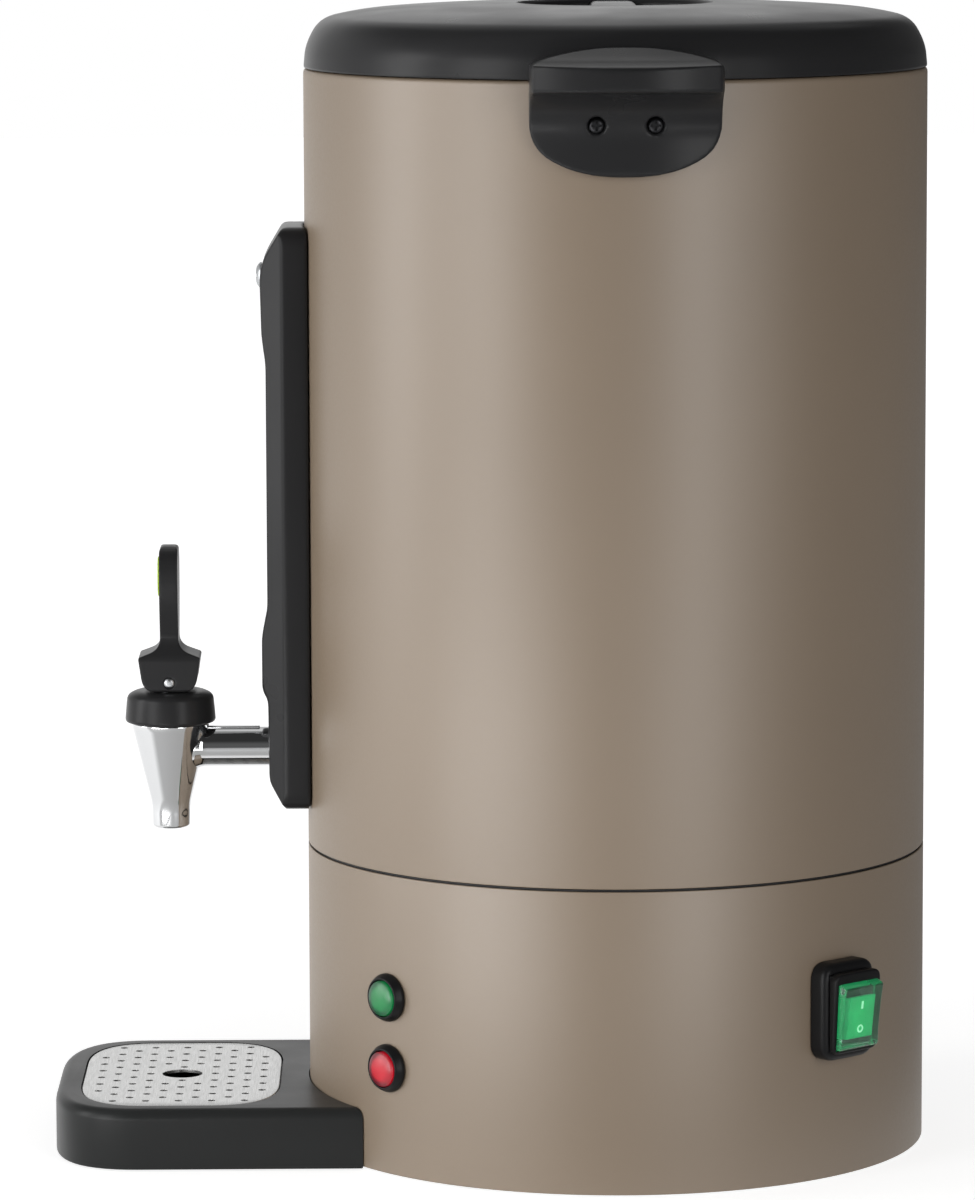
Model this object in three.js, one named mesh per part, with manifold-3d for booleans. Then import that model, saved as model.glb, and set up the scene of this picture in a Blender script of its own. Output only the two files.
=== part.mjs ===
// A double-walled electric coffee percolator, as an assembly of separate pieces.
// Millimetres, +Z up. The front, with the tap and the drip tray, faces -Y.
// Heights are measured from the lower edge of the shells, and the last lines of
// this file set the machine down on its feet.

import * as THREE from 'three';
import { mergeVertices } from 'three/addons/utils/BufferGeometryUtils.js';
import Module from 'manifold-3d';

const wasm = await Module();
wasm.setup();

// Clearances, shared by every piece
const fitGap = 0.3; // between two pieces that touch
const runGap = 0.5; // between two pieces that move past each other
const hugGap = 0.5; // between the round shell and what lies against it
const overrun = 5; // how far a cutter reaches past the face that it cuts
const weldDistance = 0.0001; // vertices closer than this are one

// How finely round pieces are divided
const bodySides = 40;
const innerSides = 24;
const smallSides = 16;
const screwSides = 8;
const cornerSteps = 4;
const sectorSteps = 2;

// Body: two painted shells, one above the other, with a dark ring in the seam
const bodyRadius = 122;
const shellWall = 1;
const seamHeight = 117.6; // middle of the groove between the shells
const seamGap = 1;
const rimHeight = 423.3; // upper edge of the upper shell
const rimLip = 10; // how far the rolled upper edge reaches inwards
const shellInside = bodyRadius - shellWall;
const seamRingWall = 1.5;
const seamRingBelow = 11;
const seamRingAbove = 12;
const seamRibProud = 0.7; // the rib stands this far out into the groove

// Underside
const footReach = 1.2; // feet reach below the edge of the shell
const baseLipHeight = 3.5;
const baseLip = 9;
const basePlateWall = 1.5;
const basePlateGap = 0.6; // round the plate's edge
const basePlateRadius = shellInside - basePlateGap;
const footRadius = 9;
const footNeck = 3.6;
const footInset = 30; // the feet stand this far inside the shell's outside
const footCircle = bodyRadius - footInset;
const footCount = 4;
const footTurn = Math.PI / 4;
const basePlateTop = baseLipHeight - fitGap;
const basePlateBottom = basePlateTop - basePlateWall;
const footStub = 1.6; // the neck ends this far above the plate
const baseScrewCount = 3;
const baseScrewCircle = shellInside - baseLip / 2;
const baseScrewHead = 3;
const baseScrewHeadHeight = 1.1;
const baseScrewShank = 1.5;
const baseScrewAbove = 5; // the thread ends this far above the lip
const screwHoleGap = 0.3;

// Inner tank: floor with a pump well, and a flange that hangs on the rim
const jacket = 16; // air between the shell and the tank
const tankRadius = shellInside - jacket;
const tankWall = 1;
const tankAboveSeam = 6.4;
const tankFloor = seamHeight + tankAboveSeam;
const wellShare = 0.219; // of the tank's radius, the pump well's
const wellRadius = tankRadius * wellShare;
const wellDepth = 13;
const flangeInset = 4; // from the shell's outside to the flange's edge
const tankFlangeRadius = bodyRadius - flangeInset;
const tankInside = tankRadius - tankWall;
const flangeTop = rimHeight + fitGap + tankWall;

// Bayonet: three dimples pressed into the tank's neck hold three lugs of the lid
const bayonetCount = 3;
const dimpleReach = 3.1;
const dimpleHeight = 3;
const dimpleBelowRim = 7.3;
const dimpleAngle = THREE.MathUtils.degToRad(18);
const lugAngle = THREE.MathUtils.degToRad(16);
const lockTurn = THREE.MathUtils.degToRad(25);
const firstLug = THREE.MathUtils.degToRad(60);
const lugHeight = 3;
const lugDrop = 1; // play between the lug's top and the dimple

// Lid
const lidWall = 3;
const lidRise = 23.8; // from the lid's lower edge to the end of its shoulder
const lidShoulder = 37; // how far inwards the shoulder reaches
const lidCrown = 1.8; // the crown rises this far above the shoulder's end
const lidBottom = rimHeight + fitGap;
const shoulderInShares = [0, 0.011, 0.022, 0.076, 0.108, 0.162, 0.289, 0.42, 0.79, 1];
const shoulderUpShares = [0, 0.187, 0.32, 0.444, 0.568, 0.705, 0.838, 0.9, 0.983, 1];
const recessRadius = 37;
const recessDepth = 15;
const gripWidth = 18.6;
const gripBelowCrown = 0.8;
const plugGap = 4; // between the tank and the ring under the lid that enters it
const plugOuter = tankInside - plugGap;
const plugWall = 3;
const plugSlope = 1; // the underside falls this much from the ring inwards
const lugReach = 2.6;
const sealRibWidth = 3;
const sealRibOut = 4.5; // from the tank's wall to the middle of the rib on the seal
const sealRibRadius = tankRadius + sealRibOut;

// Lid seal, a U-shaped silicone ring on the tank's flange
const sealWidth = 8;
const sealFloor = 3;
const sealHeight = 7;
const sealBottom = flangeTop + fitGap;
const sealRibBottom = sealBottom + sealFloor + fitGap;

// Side handles
const handleWidth = 72;
const handleRise = 13.2; // the middle of its top edge, above the shell's rim
const handleTall = 49;
const handleTop = rimHeight + handleRise;
const handleBottom = handleTop - handleTall;
const handleSideDrop = 6.5; // the top edge falls this far to the sides
const handleSideTop = handleTop - handleSideDrop;
const handleCorner = 20;
const handleReach = 31.5; // the grip lip stands this far out of the shell
const handlePlate = 5;
const handleHollow = 1; // the plate's face is hollowed by this much at the screws
const handleEdge = 1; // rounding of the top edge against the shell
const lipDrop = 7; // from the handle's top to the lip's
const lipHeight = 9;
const lipTop = handleTop - lipDrop;
const lipBottom = lipTop - lipHeight;
const lipCorner = 14;
const lipRootDrop = 2.25; // underneath, the lip's middle lies this far below its tip
const lipCrest = 2.25; // on top, it rises this far above the tip
const lipRoundBelow = 2.25;
const lipRoundAbove = 3;
const lipCrestShare = 1 / 3; // the crest lies this far along the lip
const handleScrewPitch = 22;
const handleScrewDrop = 29.5; // from the handle's top to its screws
const handleScrewHeight = handleTop - handleScrewDrop;
const handleScrewHead = 2.6;
const handleScrewRecess = 3.65;
const handleScrewRecessDepth = 1.6;
const handleScrewShank = 1.7;
const handleScrewHeadHeight = 1.5;
const handleScrewLength = 12;
const bracketWall = 1.5;
const bracketHeight = 16;
const bracketAngle = THREE.MathUtils.degToRad(19);

// The tap's shank, which fixes where the tap and the foot of the sight gauge sit
const shankAboveFloor = 31; // its axis, above the tank's floor
const shankHeight = tankFloor + shankAboveFloor;
const shankRadius = 7.8;
const shankBore = 5.2;
const shankInside = 12; // its thread reaches this far into the tank
const shankInner = tankInside - shankInside;

// Sight-gauge column
const gaugeHalfWidth = 23.1;
const gaugeBelowShank = 22.6;
const gaugeBottom = shankHeight - gaugeBelowShank;
const gaugeBelowRim = 61.3;
const gaugeTop = rimHeight - gaugeBelowRim;
const gaugeCreaseReach = 8.5; // the sides turn inwards here
const gaugeFrontHalf = 15.2;
const gaugeWaist = 2.3; // the stretch beside the window lies this much deeper
const gaugeChamfer = 11;
const gaugeBulgeLow = 33; // the bulge under the window starts this far below it
const gaugeBulgeHigh = 11; // and ends this far below it
const gaugeHeadShare = 1 / 3; // of the waist's depth, lost again at the head's foot
const gaugeHead = 15; // rounded top
const gaugeCavityHalf = 15;
const gaugeFrontWall = 3.2;
const gaugeEnds = 6; // walls at the cavity's two ends
const windowHalf = 5;
const windowAboveShank = 57;
const windowBottom = shankHeight + windowAboveShank;
const windowBelowTop = 54;
const windowTop = gaugeTop - windowBelowTop;
const windowLap = 3;
const windowThickness = 1.5;
const sightRadius = 3.5;
const sightWall = 0.9;
const sightShellGap = 2.5; // free room between the shell and the tube
const sightAboveShank = 11;
const sightBottom = shankHeight + sightAboveShank;
const gaugeScrewDrop = 20; // from the column's top to its screw
const gaugeScrewHeight = gaugeTop - gaugeScrewDrop;
const sightBelowScrew = 12;
const sightTop = gaugeScrewHeight - sightBelowScrew;
const sealBlockHeight = 12;
const sealBlockHalf = 7;
const gaugeScrewHead = 5.2;
const gaugeScrewHeadHeight = 2.3;
const gaugeScrewShank = 2;
const gaugeScrewLength = 24;
const gaugeBoss = 4.6;

// From the shell outwards: the tube, the window, the column's wall and its waist
const sightForward = bodyRadius + hugGap + sightShellGap + sightRadius;
const windowBack = sightForward + sightRadius + fitGap;
const windowFront = windowBack + windowThickness;
const cavityFront = windowFront + fitGap;
const gaugeFront = cavityFront + gaugeFrontWall + gaugeWaist;

// Tap: its heights follow the shank's, and its axis stands clear of the column
const tapReach = 36.7; // from the column's face to the spout's axis
const tapForward = gaugeFront + tapReach;
const spoutDrop = 32; // from the shank's axis down to the spout's mouth
const spoutBottom = shankHeight - spoutDrop;
const spoutRadius = 7.5;
const spoutStraight = 10;
const spoutRise = 10;
const spoutTop = shankHeight + spoutRise;
const spoutTopRadius = 15.4;
const spoutWall = 2.7;
const spoutBore = 5.2;
const seatDrop = 14;
const seatHeight = shankHeight - seatDrop;
const chamberFloorRadius = 7.2;
const chamberTopRadius = spoutTopRadius - spoutWall;
const bonnetLap = 2.5; // it overhangs the spout's top by this much
const bonnetRadius = spoutTopRadius + bonnetLap;
const bonnetTall = 12.8;
const bonnetTop = spoutTop + bonnetTall;
const bonnetEdgeDrop = 1.9;
const bonnetShoulder = bonnetTop - bonnetEdgeDrop;
const bonnetTaper = 0.9;
const bonnetUpperRadius = bonnetRadius - bonnetTaper;
const bonnetEdgeWidth = 4.4;
const bonnetFlatRadius = bonnetRadius - bonnetEdgeWidth;
const bonnetPlug = 2.8; // its skirt enters the body by this much
const cupBottomRadius = 6;
const cupTopRadius = 7.2;
const cupHeight = 11;
const cupFloor = 4.4;
const stemRadius = 3.4;
const stemBottom = seatHeight + cupFloor + 2 * fitGap;
const pinRise = 3.9; // the pin's axis, above the bonnet
const pinHeight = bonnetTop + pinRise;
const pinRadius = 2.2;
const stemAbovePin = 3.9;
const hubHalf = 11; // half of the lever hub's width across the machine
const hubLowHalf = 10.25;
const hubHighHalf = 12.3;
const hubTall = 14;
const hubShoulder = bonnetTop + hubTall;
const hubCorner = 3;
const neckRise = 6.7;
const neckHeight = hubShoulder + neckRise;
const paddleHalfThickness = 3.65;
const paddleTall = 37.1;
const paddleTop = neckHeight + paddleTall;
const paddleHalf = 12.5;
const paddleEdgeShare = 1 / 3; // of half the thickness, the rounding of its top edge
const neckHalf = 7;
const slotAbovePin = 5.2;
const insetDrop = 12.6; // from the paddle's top to the inset's middle
const insetHeight = paddleTop - insetDrop;
const insetHalfWidth = 6;
const insetHalfHeight = 8;
const insetProud = 0.8;
const insetThickness = 1.7;
const nutRadius = 13;
const nutThickness = 6;
const washerThickness = 2;
const washerWallGap = 2; // a flat washer clears the curved wall's middle by this

// Drip tray and its grid
const trayReach = 100; // from the shell to the tray's front edge
const trayFront = bodyRadius + trayReach;
const trayHalf = 70;
const trayBottom = -0.7;
const trayTop = 23;
const trayCorner = 32;
const trayWall = 2.5;
const gridThickness = 1.2;
const gridDrop = 0.1;
const gridTop = trayTop - gridDrop;
const gridSide = 9; // the tray's edge is this wide beside the grid
const gridHalf = trayHalf - gridSide;
const gridInset = 10.3; // and this wide in front of it
const gridFront = trayFront - gridInset;
const gridShellGap = 11.7;
const gridBack = bodyRadius + gridShellGap;
const gridCorner = 26;
const gridLedge = 4.5;
const trayWellFloor = 6;
const gridHoleRadius = 1.5;
const gridHoleSides = 5;
const gridPitch = 12.9; // between two holes of one row
const gridBorder = 4.2; // bare metal round the holes
const drainRadius = 8;
const drainBack = 3.3; // its middle lies this far behind the spout's axis
const drainForward = tapForward - drainBack;
const tongueHalf = 30;
const tongueBottom = 6;
const tongueTop = 12;
const tongueReach = 15; // how far the tongue enters the base
const tongueEnd = shellInside - tongueReach;

// Indicator lamps, each a bezel with a lens in it
const lampTurn = THREE.MathUtils.degToRad(42.3);
const greenLampBelowSeam = 48.1;
const greenLampHeight = seamHeight - greenLampBelowSeam;
const lampPitch = 27.7;
const redLampHeight = greenLampHeight - lampPitch;
const lensRadius = 6.8;
const lensNeck = 4.9;
const lensDome = 2.6;
const lensDepth = 9;
const lensSteps = 4;
const bezelHollow = lensRadius + fitGap;
const bezelRimWidth = 2.3;
const bezelRadius = bezelHollow + bezelRimWidth;
const bezelBore = lensNeck + fitGap;
const bezelNeckWall = 1.4;
const bezelNeck = bezelBore + bezelNeckWall;
const bezelProud = 3.4;
const bezelDepth = 20;
const bezelEdgeShare = 1 / 3; // of its height, taken off the outer edge

// Rocker switch: the body's size, and round it the surround, the step and the rocker
const switchTurn = THREE.MathUtils.degToRad(132.3);
const switchBelowSeam = 51.6;
const switchHeight = seamHeight - switchBelowSeam;
const switchBodyWidth = 23;
const switchBodyHeight = 29.6;
const switchBodyDepth = 26; // behind the front of the frame
const switchCavityDepth = 15;
const frameSide = 2.45;
const frameEnd = 5.1;
const frameWidth = switchBodyWidth + 2 * frameSide;
const frameHeight = switchBodyHeight + 2 * frameEnd;
const frameProud = 7.3;
const frameCorner = 7;
const switchStepSide = 0.8;
const switchStepEnd = 0.9;
const switchStepWidth = switchBodyWidth + 2 * switchStepSide;
const switchStepHeight = switchBodyHeight + 2 * switchStepEnd;
const switchStepProud = 2.6;
const switchStepCorner = 3;
const switchBladeLength = 7;
const switchBladeWidth = 6;
const switchBladeThickness = 0.9;
const switchBladeShares = [-1 / 3, 0, 1 / 3]; // the blades' places, of the body's height
const rockerSideWall = 1;
const rockerEndWall = 0.6;
const rockerHalfWidth = switchBodyWidth / 2 - rockerSideWall;
const rockerRadius = switchBodyHeight / 2 - rockerEndWall; // its ends turn on this circle
const rockerLowProud = 12.2; // the pressed half stands this far out of the shell
const rockerHighRise = 3; // and the upper edge this much further
const rockerHighProud = rockerLowProud + rockerHighRise;
const rockerPivotDepth = 3.2; // behind the pressed half's face
const rockerBackDepth = 7;
const rockerEndSteps = 4;

// Power inlet on the rear, towards the left: the socket's size, and round it the body
// and the flange
const inletTurn = THREE.MathUtils.degToRad(210);
const inletHeight = 40;
const inletSocketWidth = 24.5;
const inletSocketHeight = 16.2;
const inletSocketDepth = 18;
const inletSideWall = 2.75;
const inletEndWall = 2.15;
const inletBodyWidth = inletSocketWidth + 2 * inletSideWall;
const inletBodyHeight = inletSocketHeight + 2 * inletEndWall;
const inletFlangeSide = 10;
const inletFlangeEnd = 1.75;
const inletFlangeWidth = inletBodyWidth + 2 * inletFlangeSide;
const inletFlangeHeight = inletBodyHeight + 2 * inletFlangeEnd;
const inletFlangeProud = 3;
const inletFlangeCorner = 4;
const inletBack = 4;
const inletPinPitch = 7;
const inletPinRise = 4;
const inletPinWidth = 2;
const inletPinHeight = 4;
const inletPinLength = 14;
const inletTagLength = 7;

// Percolator parts inside the tank, hung from the top of the riser tube down
const riserRadius = 5;
const riserWall = 1;
const riserBelowRim = 13.3;
const riserTop = rimHeight - riserBelowRim;
const riserFootGap = 4; // between its foot and the pump well's wall
const riserFootRadius = wellRadius - tankWall - riserFootGap;
const riserFootFlare = 9;
const riserFootEdge = 1.5;
const riserFootRise = 12;
const riserFootSlope = 4; // the foot narrows to the tube over this height
const riserAboveCover = 4.4;
const coverWall = 1;
const coverBottom = riserTop - riserAboveCover - coverWall;
const basketInset = 43; // between the tank and the basket
const basketRadius = tankRadius - basketInset;
const basketWall = 0.8;
const basketDeep = 74;
const basketTop = coverBottom - fitGap;
const basketBottom = basketTop - basketDeep;
const basketTubeDrop = 4;
const basketHoleCount = 8;
const basketHoleRadius = 2;
const basketHoleCircleShare = 0.55;
const beadReach = 2.5;
const beadTall = 2;
const beadTop = basketBottom - fitGap;
const valveRadius = 9;
const valveThickness = 1;

// Heating
const sensorShare = 0.743; // of the tank's radius, where the two sensors touch its floor
const sensorOut = tankRadius * sensorShare;
const thermostatRadius = 8;
const thermostatHeight = 11;
const cutoutRadius = 9;
const cutoutHeight = 17;
const heatPlateWellGap = 4;
const heatPlateInner = wellRadius + heatPlateWellGap;
const heatPlateSensorGap = 7;
const heatPlateOuter = sensorOut - cutoutRadius - heatPlateSensorGap;
const heatPlateWall = 3;
const elementRadius = 3.5;
const elementRing = (heatPlateInner + heatPlateOuter) / 2;
const elementDrop = 16;
const elementOpening = THREE.MathUtils.degToRad(50);
const elementCorners = 12;
const elementBend = 10;
const elementHalfSides = 4; // the round section has twice as many sides
const elementSteps = 40;
const bandAboveShank = 9.2;
const bandBottom = shankHeight + shankRadius + bandAboveShank;
const bandHeight = 20;
const bandWall = 1.8;
const sensorLugHalf = 13;
const sensorLugThickness = 1.2;
const sensorLugHalfWidth = 4;
const sensorBladeLength = 7;
const sensorBladeWidth = 5;
const sensorBladeThickness = 0.9;
const sensorBladePitch = 8;
const sensorTurn = THREE.MathUtils.degToRad(65);

const machine = new THREE.Group();

// Materials, one for each kind of finish
function finish(color, roughness, metalness) {
  return new THREE.MeshStandardMaterial({ color, roughness, metalness });
}

const taupePaint = finish(0x96897a, 0.42, 0.1);
const blackPlastic = finish(0x262626, 0.45, 0);
const softBlack = finish(0x1d1d1d, 0.8, 0);
const stainless = finish(0xc9cacb, 0.32, 1);
const chrome = finish(0xe6e7e8, 0.08, 1);
const aluminium = finish(0xb7b9bb, 0.5, 1);
const steel = finish(0x9c9ea0, 0.4, 1);
const brass = finish(0xb99a55, 0.35, 1);
const silicone = finish(0xd8d6cf, 0.7, 0);
const glass = finish(0xdfeaf0, 0.05, 0);
const clearPlastic = finish(0xe8f0f2, 0.08, 0);
const limePlastic = finish(0xb4d232, 0.4, 0);
const greenLens = finish(0x2fae73, 0.2, 0);
const redLens = finish(0xd02a45, 0.2, 0);
const ceramic = finish(0xe6e0d2, 0.6, 0);

// A closed geometry becomes a solid that can be cut and joined.
function toSolid(geometry) {
  const bare = geometry.clone();
  bare.deleteAttribute('normal');
  bare.deleteAttribute('uv');
  const welded = mergeVertices(bare, weldDistance);
  const index = welded.index.array;
  const triangles = [];
  for (let i = 0; i < index.length; i += 3) {
    const [a, b, c] = index.slice(i, i + 3);
    if (a !== b && b !== c && c !== a) triangles.push(a, b, c);
  }
  const mesh = new wasm.Mesh({
    numProp: 3,
    vertProperties: new Float32Array(welded.attributes.position.array),
    triVerts: new Uint32Array(triangles),
  });
  return new wasm.Manifold(mesh);
}

function toGeometry(solid) {
  const mesh = solid.getMesh();
  const geometry = new THREE.BufferGeometry();
  geometry.setAttribute('position', new THREE.BufferAttribute(mesh.vertProperties, mesh.numProp));
  geometry.setIndex(new THREE.BufferAttribute(mesh.triVerts, 1));
  geometry.computeVertexNormals();
  return geometry;
}

// Adds one named piece to the machine. A piece that sits on the shell is drawn as if it
// were at the front, and turn carries it round the body's axis to its real place.
function addPiece(name, solid, material, turn = 0) {
  const mesh = new THREE.Mesh(toGeometry(solid), material);
  mesh.name = name;
  mesh.rotation.z = turn;
  machine.add(mesh);
  return mesh;
}

// The same turn, for the hole that such a piece leaves in the shell
function turned(solid, turn) {
  return solid.rotate([0, 0, THREE.MathUtils.radToDeg(turn)]);
}

// A profile of [radius, height] points, spun about the vertical axis
function lathed(profile, sides) {
  const points = profile.map(([radius, height]) => new THREE.Vector2(radius, height));
  if (THREE.ShapeUtils.isClockWise(points)) points.reverse();
  const ends = [points[0], points[points.length - 1]];
  if (ends.some((point) => point.x > 0)) points.push(points[0].clone());
  const geometry = new THREE.LatheGeometry(points, sides);
  geometry.rotateX(Math.PI / 2);
  return toSolid(geometry);
}

function outline(points) {
  return new THREE.Shape(points.map(([x, y]) => new THREE.Vector2(x, y)));
}

// An outline whose corners are rounded: each point is [x, y, length of the rounding].
// A rounding takes at most half of the side that it lies on.
function softOutline(points) {
  const shape = new THREE.Shape();
  const corners = points.map(([x, y]) => new THREE.Vector2(x, y));
  corners.forEach((corner, i) => {
    const before = corners[(i + corners.length - 1) % corners.length];
    const after = corners[(i + 1) % corners.length];
    const round = points[i][2];
    const start = corner.clone().lerp(before, Math.min(round / corner.distanceTo(before), 1 / 2));
    const end = corner.clone().lerp(after, Math.min(round / corner.distanceTo(after), 1 / 2));
    if (i === 0) shape.moveTo(start.x, start.y);
    else shape.lineTo(start.x, start.y);
    if (round > 0) shape.quadraticCurveTo(corner.x, corner.y, end.x, end.y);
  });
  shape.closePath();
  return shape;
}

function softRectangle(halfX, lowY, highY, round) {
  return softOutline([
    [-halfX, lowY, round],
    [halfX, lowY, round],
    [halfX, highY, round],
    [-halfX, highY, round],
  ]);
}

function extruded(shape, length, steps = cornerSteps) {
  return new THREE.ExtrudeGeometry(shape, {
    depth: length,
    bevelEnabled: false,
    curveSegments: steps,
  });
}

// An outline in X and Y, from one height to another
function upright(shape, bottom, top, steps = cornerSteps) {
  const geometry = extruded(shape, top - bottom, steps);
  geometry.translate(0, 0, bottom);
  return toSolid(geometry);
}

// An outline in X and Z, from a depth in front of the body's axis to a greater one
function forward(shape, near, far) {
  const geometry = extruded(shape, far - near);
  geometry.rotateX(Math.PI / 2);
  geometry.translate(0, -near, 0);
  return toSolid(geometry);
}

// An outline whose first number is the depth in front of the axis and whose second is
// the height, spread across the machine to half a width on each side
function across(shape, half) {
  const geometry = extruded(shape, half + half);
  geometry.translate(0, 0, -half);
  geometry.rotateX(Math.PI / 2);
  geometry.rotateZ(-Math.PI / 2);
  return toSolid(geometry);
}

// A box, with its depths measured in front of the body's axis
function block(halfX, near, far, bottom, top) {
  const plan = outline([
    [-halfX, -far],
    [halfX, -far],
    [halfX, -near],
    [-halfX, -near],
  ]);
  return upright(plan, bottom, top);
}

function column(radius, bottom, top, sides) {
  const geometry = new THREE.CylinderGeometry(radius, radius, top - bottom, sides);
  geometry.rotateX(Math.PI / 2);
  geometry.translate(0, 0, (top + bottom) / 2);
  return toSolid(geometry);
}

// A round bar that lies along Y, from a depth in front of the axis to a greater one
function rodForward(radius, near, far, x, height, sides) {
  const geometry = new THREE.CylinderGeometry(radius, radius, far - near, sides);
  geometry.translate(x, -(near + far) / 2, height);
  return toSolid(geometry);
}

// A stretch of a flat ring, between two angles measured from the front
function sector(inner, outer, middle, width, bottom, top) {
  const from = middle - width / 2 - Math.PI / 2;
  const to = middle + width / 2 - Math.PI / 2;
  const shape = new THREE.Shape();
  shape.absarc(0, 0, outer, from, to, false);
  shape.absarc(0, 0, inner, to, from, true);
  shape.closePath();
  return upright(shape, bottom, top, sectorSteps);
}

function hexagon(radius) {
  const corners = Array.from({ length: 6 }, (_, i) => {
    const angle = (i * Math.PI) / 3;
    return [radius * Math.cos(angle), radius * Math.sin(angle)];
  });
  return outline(corners);
}

// A screw or pin that lies along Y: a wide head in front and a thinner shank behind it
function screwForward(head, headHeight, shank, length, headBack, x, height) {
  const shankEnd = headBack - length;
  const body = rodForward(shank, shankEnd, headBack + headHeight / 2, x, height, screwSides);
  return body.add(rodForward(head, headBack, headBack + headHeight, x, height, screwSides));
}

// A round hole through the shell
function shellHole(radius, x, height, turn) {
  const hole = rodForward(radius, shellInside - overrun, bodyRadius + overrun, x, height, smallSides);
  return turned(hole, turn);
}

// The base shell and the pieces below it

function seamRing() {
  const outer = shellInside - hugGap;
  const inner = outer - seamRingWall;
  const rib = (seamGap - 2 * fitGap) / 2;
  return lathed([
    [inner, seamHeight - seamRingBelow],
    [outer, seamHeight - seamRingBelow],
    [outer, seamHeight - rib],
    [outer + seamRibProud, seamHeight - rib],
    [outer + seamRibProud, seamHeight + rib],
    [outer, seamHeight + rib],
    [outer, seamHeight + seamRingAbove],
    [inner, seamHeight + seamRingAbove],
  ], innerSides);
}

function basePieces() {
  const top = seamHeight - seamGap / 2;
  const lipTop = baseLipHeight + shellWall;
  let shell = lathed([
    [bodyRadius, 0],
    [bodyRadius, top],
    [shellInside, top],
    [shellInside, lipTop],
    [shellInside - baseLip, lipTop],
    [shellInside - baseLip, baseLipHeight],
    [shellInside, baseLipHeight],
    [shellInside, 0],
  ], bodySides);

  for (const height of [greenLampHeight, redLampHeight]) {
    shell = shell.subtract(shellHole(bezelNeck + fitGap, 0, height, lampTurn));
  }
  const switchHole = block(
    switchBodyWidth / 2 + fitGap, shellInside - overrun, bodyRadius + overrun,
    switchHeight - switchBodyHeight / 2 - fitGap, switchHeight + switchBodyHeight / 2 + fitGap,
  );
  const inletHole = block(
    inletBodyWidth / 2 + fitGap, shellInside - overrun, bodyRadius + overrun,
    inletHeight - inletBodyHeight / 2 - fitGap, inletHeight + inletBodyHeight / 2 + fitGap,
  );
  const traySlot = block(
    tongueHalf + runGap, tongueEnd, bodyRadius + overrun, tongueBottom - runGap, tongueTop + runGap,
  );
  shell = shell.subtract(turned(switchHole, switchTurn));
  shell = shell.subtract(turned(inletHole, inletTurn));
  shell = shell.subtract(traySlot);

  let plate = column(basePlateRadius, basePlateBottom, basePlateTop, innerSides);
  for (let i = 0; i < footCount; i += 1) {
    const turn = footTurn + (i * 2 * Math.PI) / footCount;
    const hole = column(footNeck + fitGap, basePlateBottom - overrun, basePlateTop + overrun, screwSides);
    plate = plate.subtract(turned(hole.translate([0, -footCircle, 0]), turn));
    const foot = lathed([
      [0, -footReach],
      [footRadius, -footReach],
      [footRadius, basePlateBottom - fitGap],
      [footNeck, basePlateBottom - fitGap],
      [footNeck, basePlateTop + footStub],
      [0, basePlateTop + footStub],
    ], screwSides);
    addPiece(`foot_${i + 1}`, foot.translate([0, -footCircle, 0]), softBlack, turn);
  }
  for (let i = 0; i < baseScrewCount; i += 1) {
    const turn = Math.PI / baseScrewCount + (i * 2 * Math.PI) / baseScrewCount;
    const hole = column(baseScrewShank + screwHoleGap, -overrun, lipTop + overrun, screwSides);
    const placed = turned(hole.translate([0, -baseScrewCircle, 0]), turn);
    plate = plate.subtract(placed);
    shell = shell.subtract(placed);
    const headTop = basePlateBottom - fitGap;
    const screw = lathed([
      [0, headTop - baseScrewHeadHeight],
      [baseScrewHead, headTop - baseScrewHeadHeight],
      [baseScrewHead, headTop],
      [baseScrewShank, headTop],
      [baseScrewShank, lipTop + baseScrewAbove],
      [0, lipTop + baseScrewAbove],
    ], screwSides);
    addPiece(`base_screw_${i + 1}`, screw.translate([0, -baseScrewCircle, 0]), steel, turn);
  }
  addPiece('base_shell', shell, taupePaint);
  addPiece('base_plate', plate, stainless);
  addPiece('seam_ring', seamRing(), softBlack);
}

// The upper shell, with the holes that its fittings need

function outerShell() {
  const bottom = seamHeight + seamGap / 2;
  let shell = lathed([
    [bodyRadius, bottom],
    [bodyRadius, rimHeight],
    [bodyRadius - rimLip, rimHeight],
    [bodyRadius - rimLip, rimHeight - shellWall],
    [shellInside, rimHeight - shellWall],
    [shellInside, bottom],
  ], bodySides);
  for (const turn of [Math.PI / 2, -Math.PI / 2]) {
    for (const side of [-1, 1]) {
      const x = (side * handleScrewPitch) / 2;
      shell = shell.subtract(shellHole(handleScrewShank + screwHoleGap, x, handleScrewHeight, turn));
    }
  }
  shell = shell.subtract(shellHole(shankRadius + fitGap, 0, shankHeight, 0));
  return shell.subtract(shellHole(gaugeScrewShank + screwHoleGap, 0, gaugeScrewHeight, 0));
}

// The inner tank: a rolled wall with its flanged rim, and a pressed floor with the pump
// well, which is welded into the wall's lower edge

function innerTank() {
  let tank = lathed([
    [tankInside, tankFloor],
    [tankRadius, tankFloor],
    [tankRadius, flangeTop - tankWall],
    [tankFlangeRadius, flangeTop - tankWall],
    [tankFlangeRadius, flangeTop],
    [tankInside, flangeTop],
  ], innerSides);
  const dimpleTop = flangeTop - dimpleBelowRim + dimpleHeight;
  for (let i = 0; i < bayonetCount; i += 1) {
    const middle = firstLug + lockTurn + (i * 2 * Math.PI) / bayonetCount;
    const reach = tankInside - dimpleReach;
    const bottom = dimpleTop - dimpleHeight;
    tank = tank.add(sector(reach, tankInside + tankWall / 2, middle, dimpleAngle, bottom, dimpleTop));
  }
  const near = tankRadius - 2 * overrun;
  const far = tankRadius + overrun;
  return tank.subtract(rodForward(shankRadius + fitGap, near, far, 0, shankHeight, smallSides));
}

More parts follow.
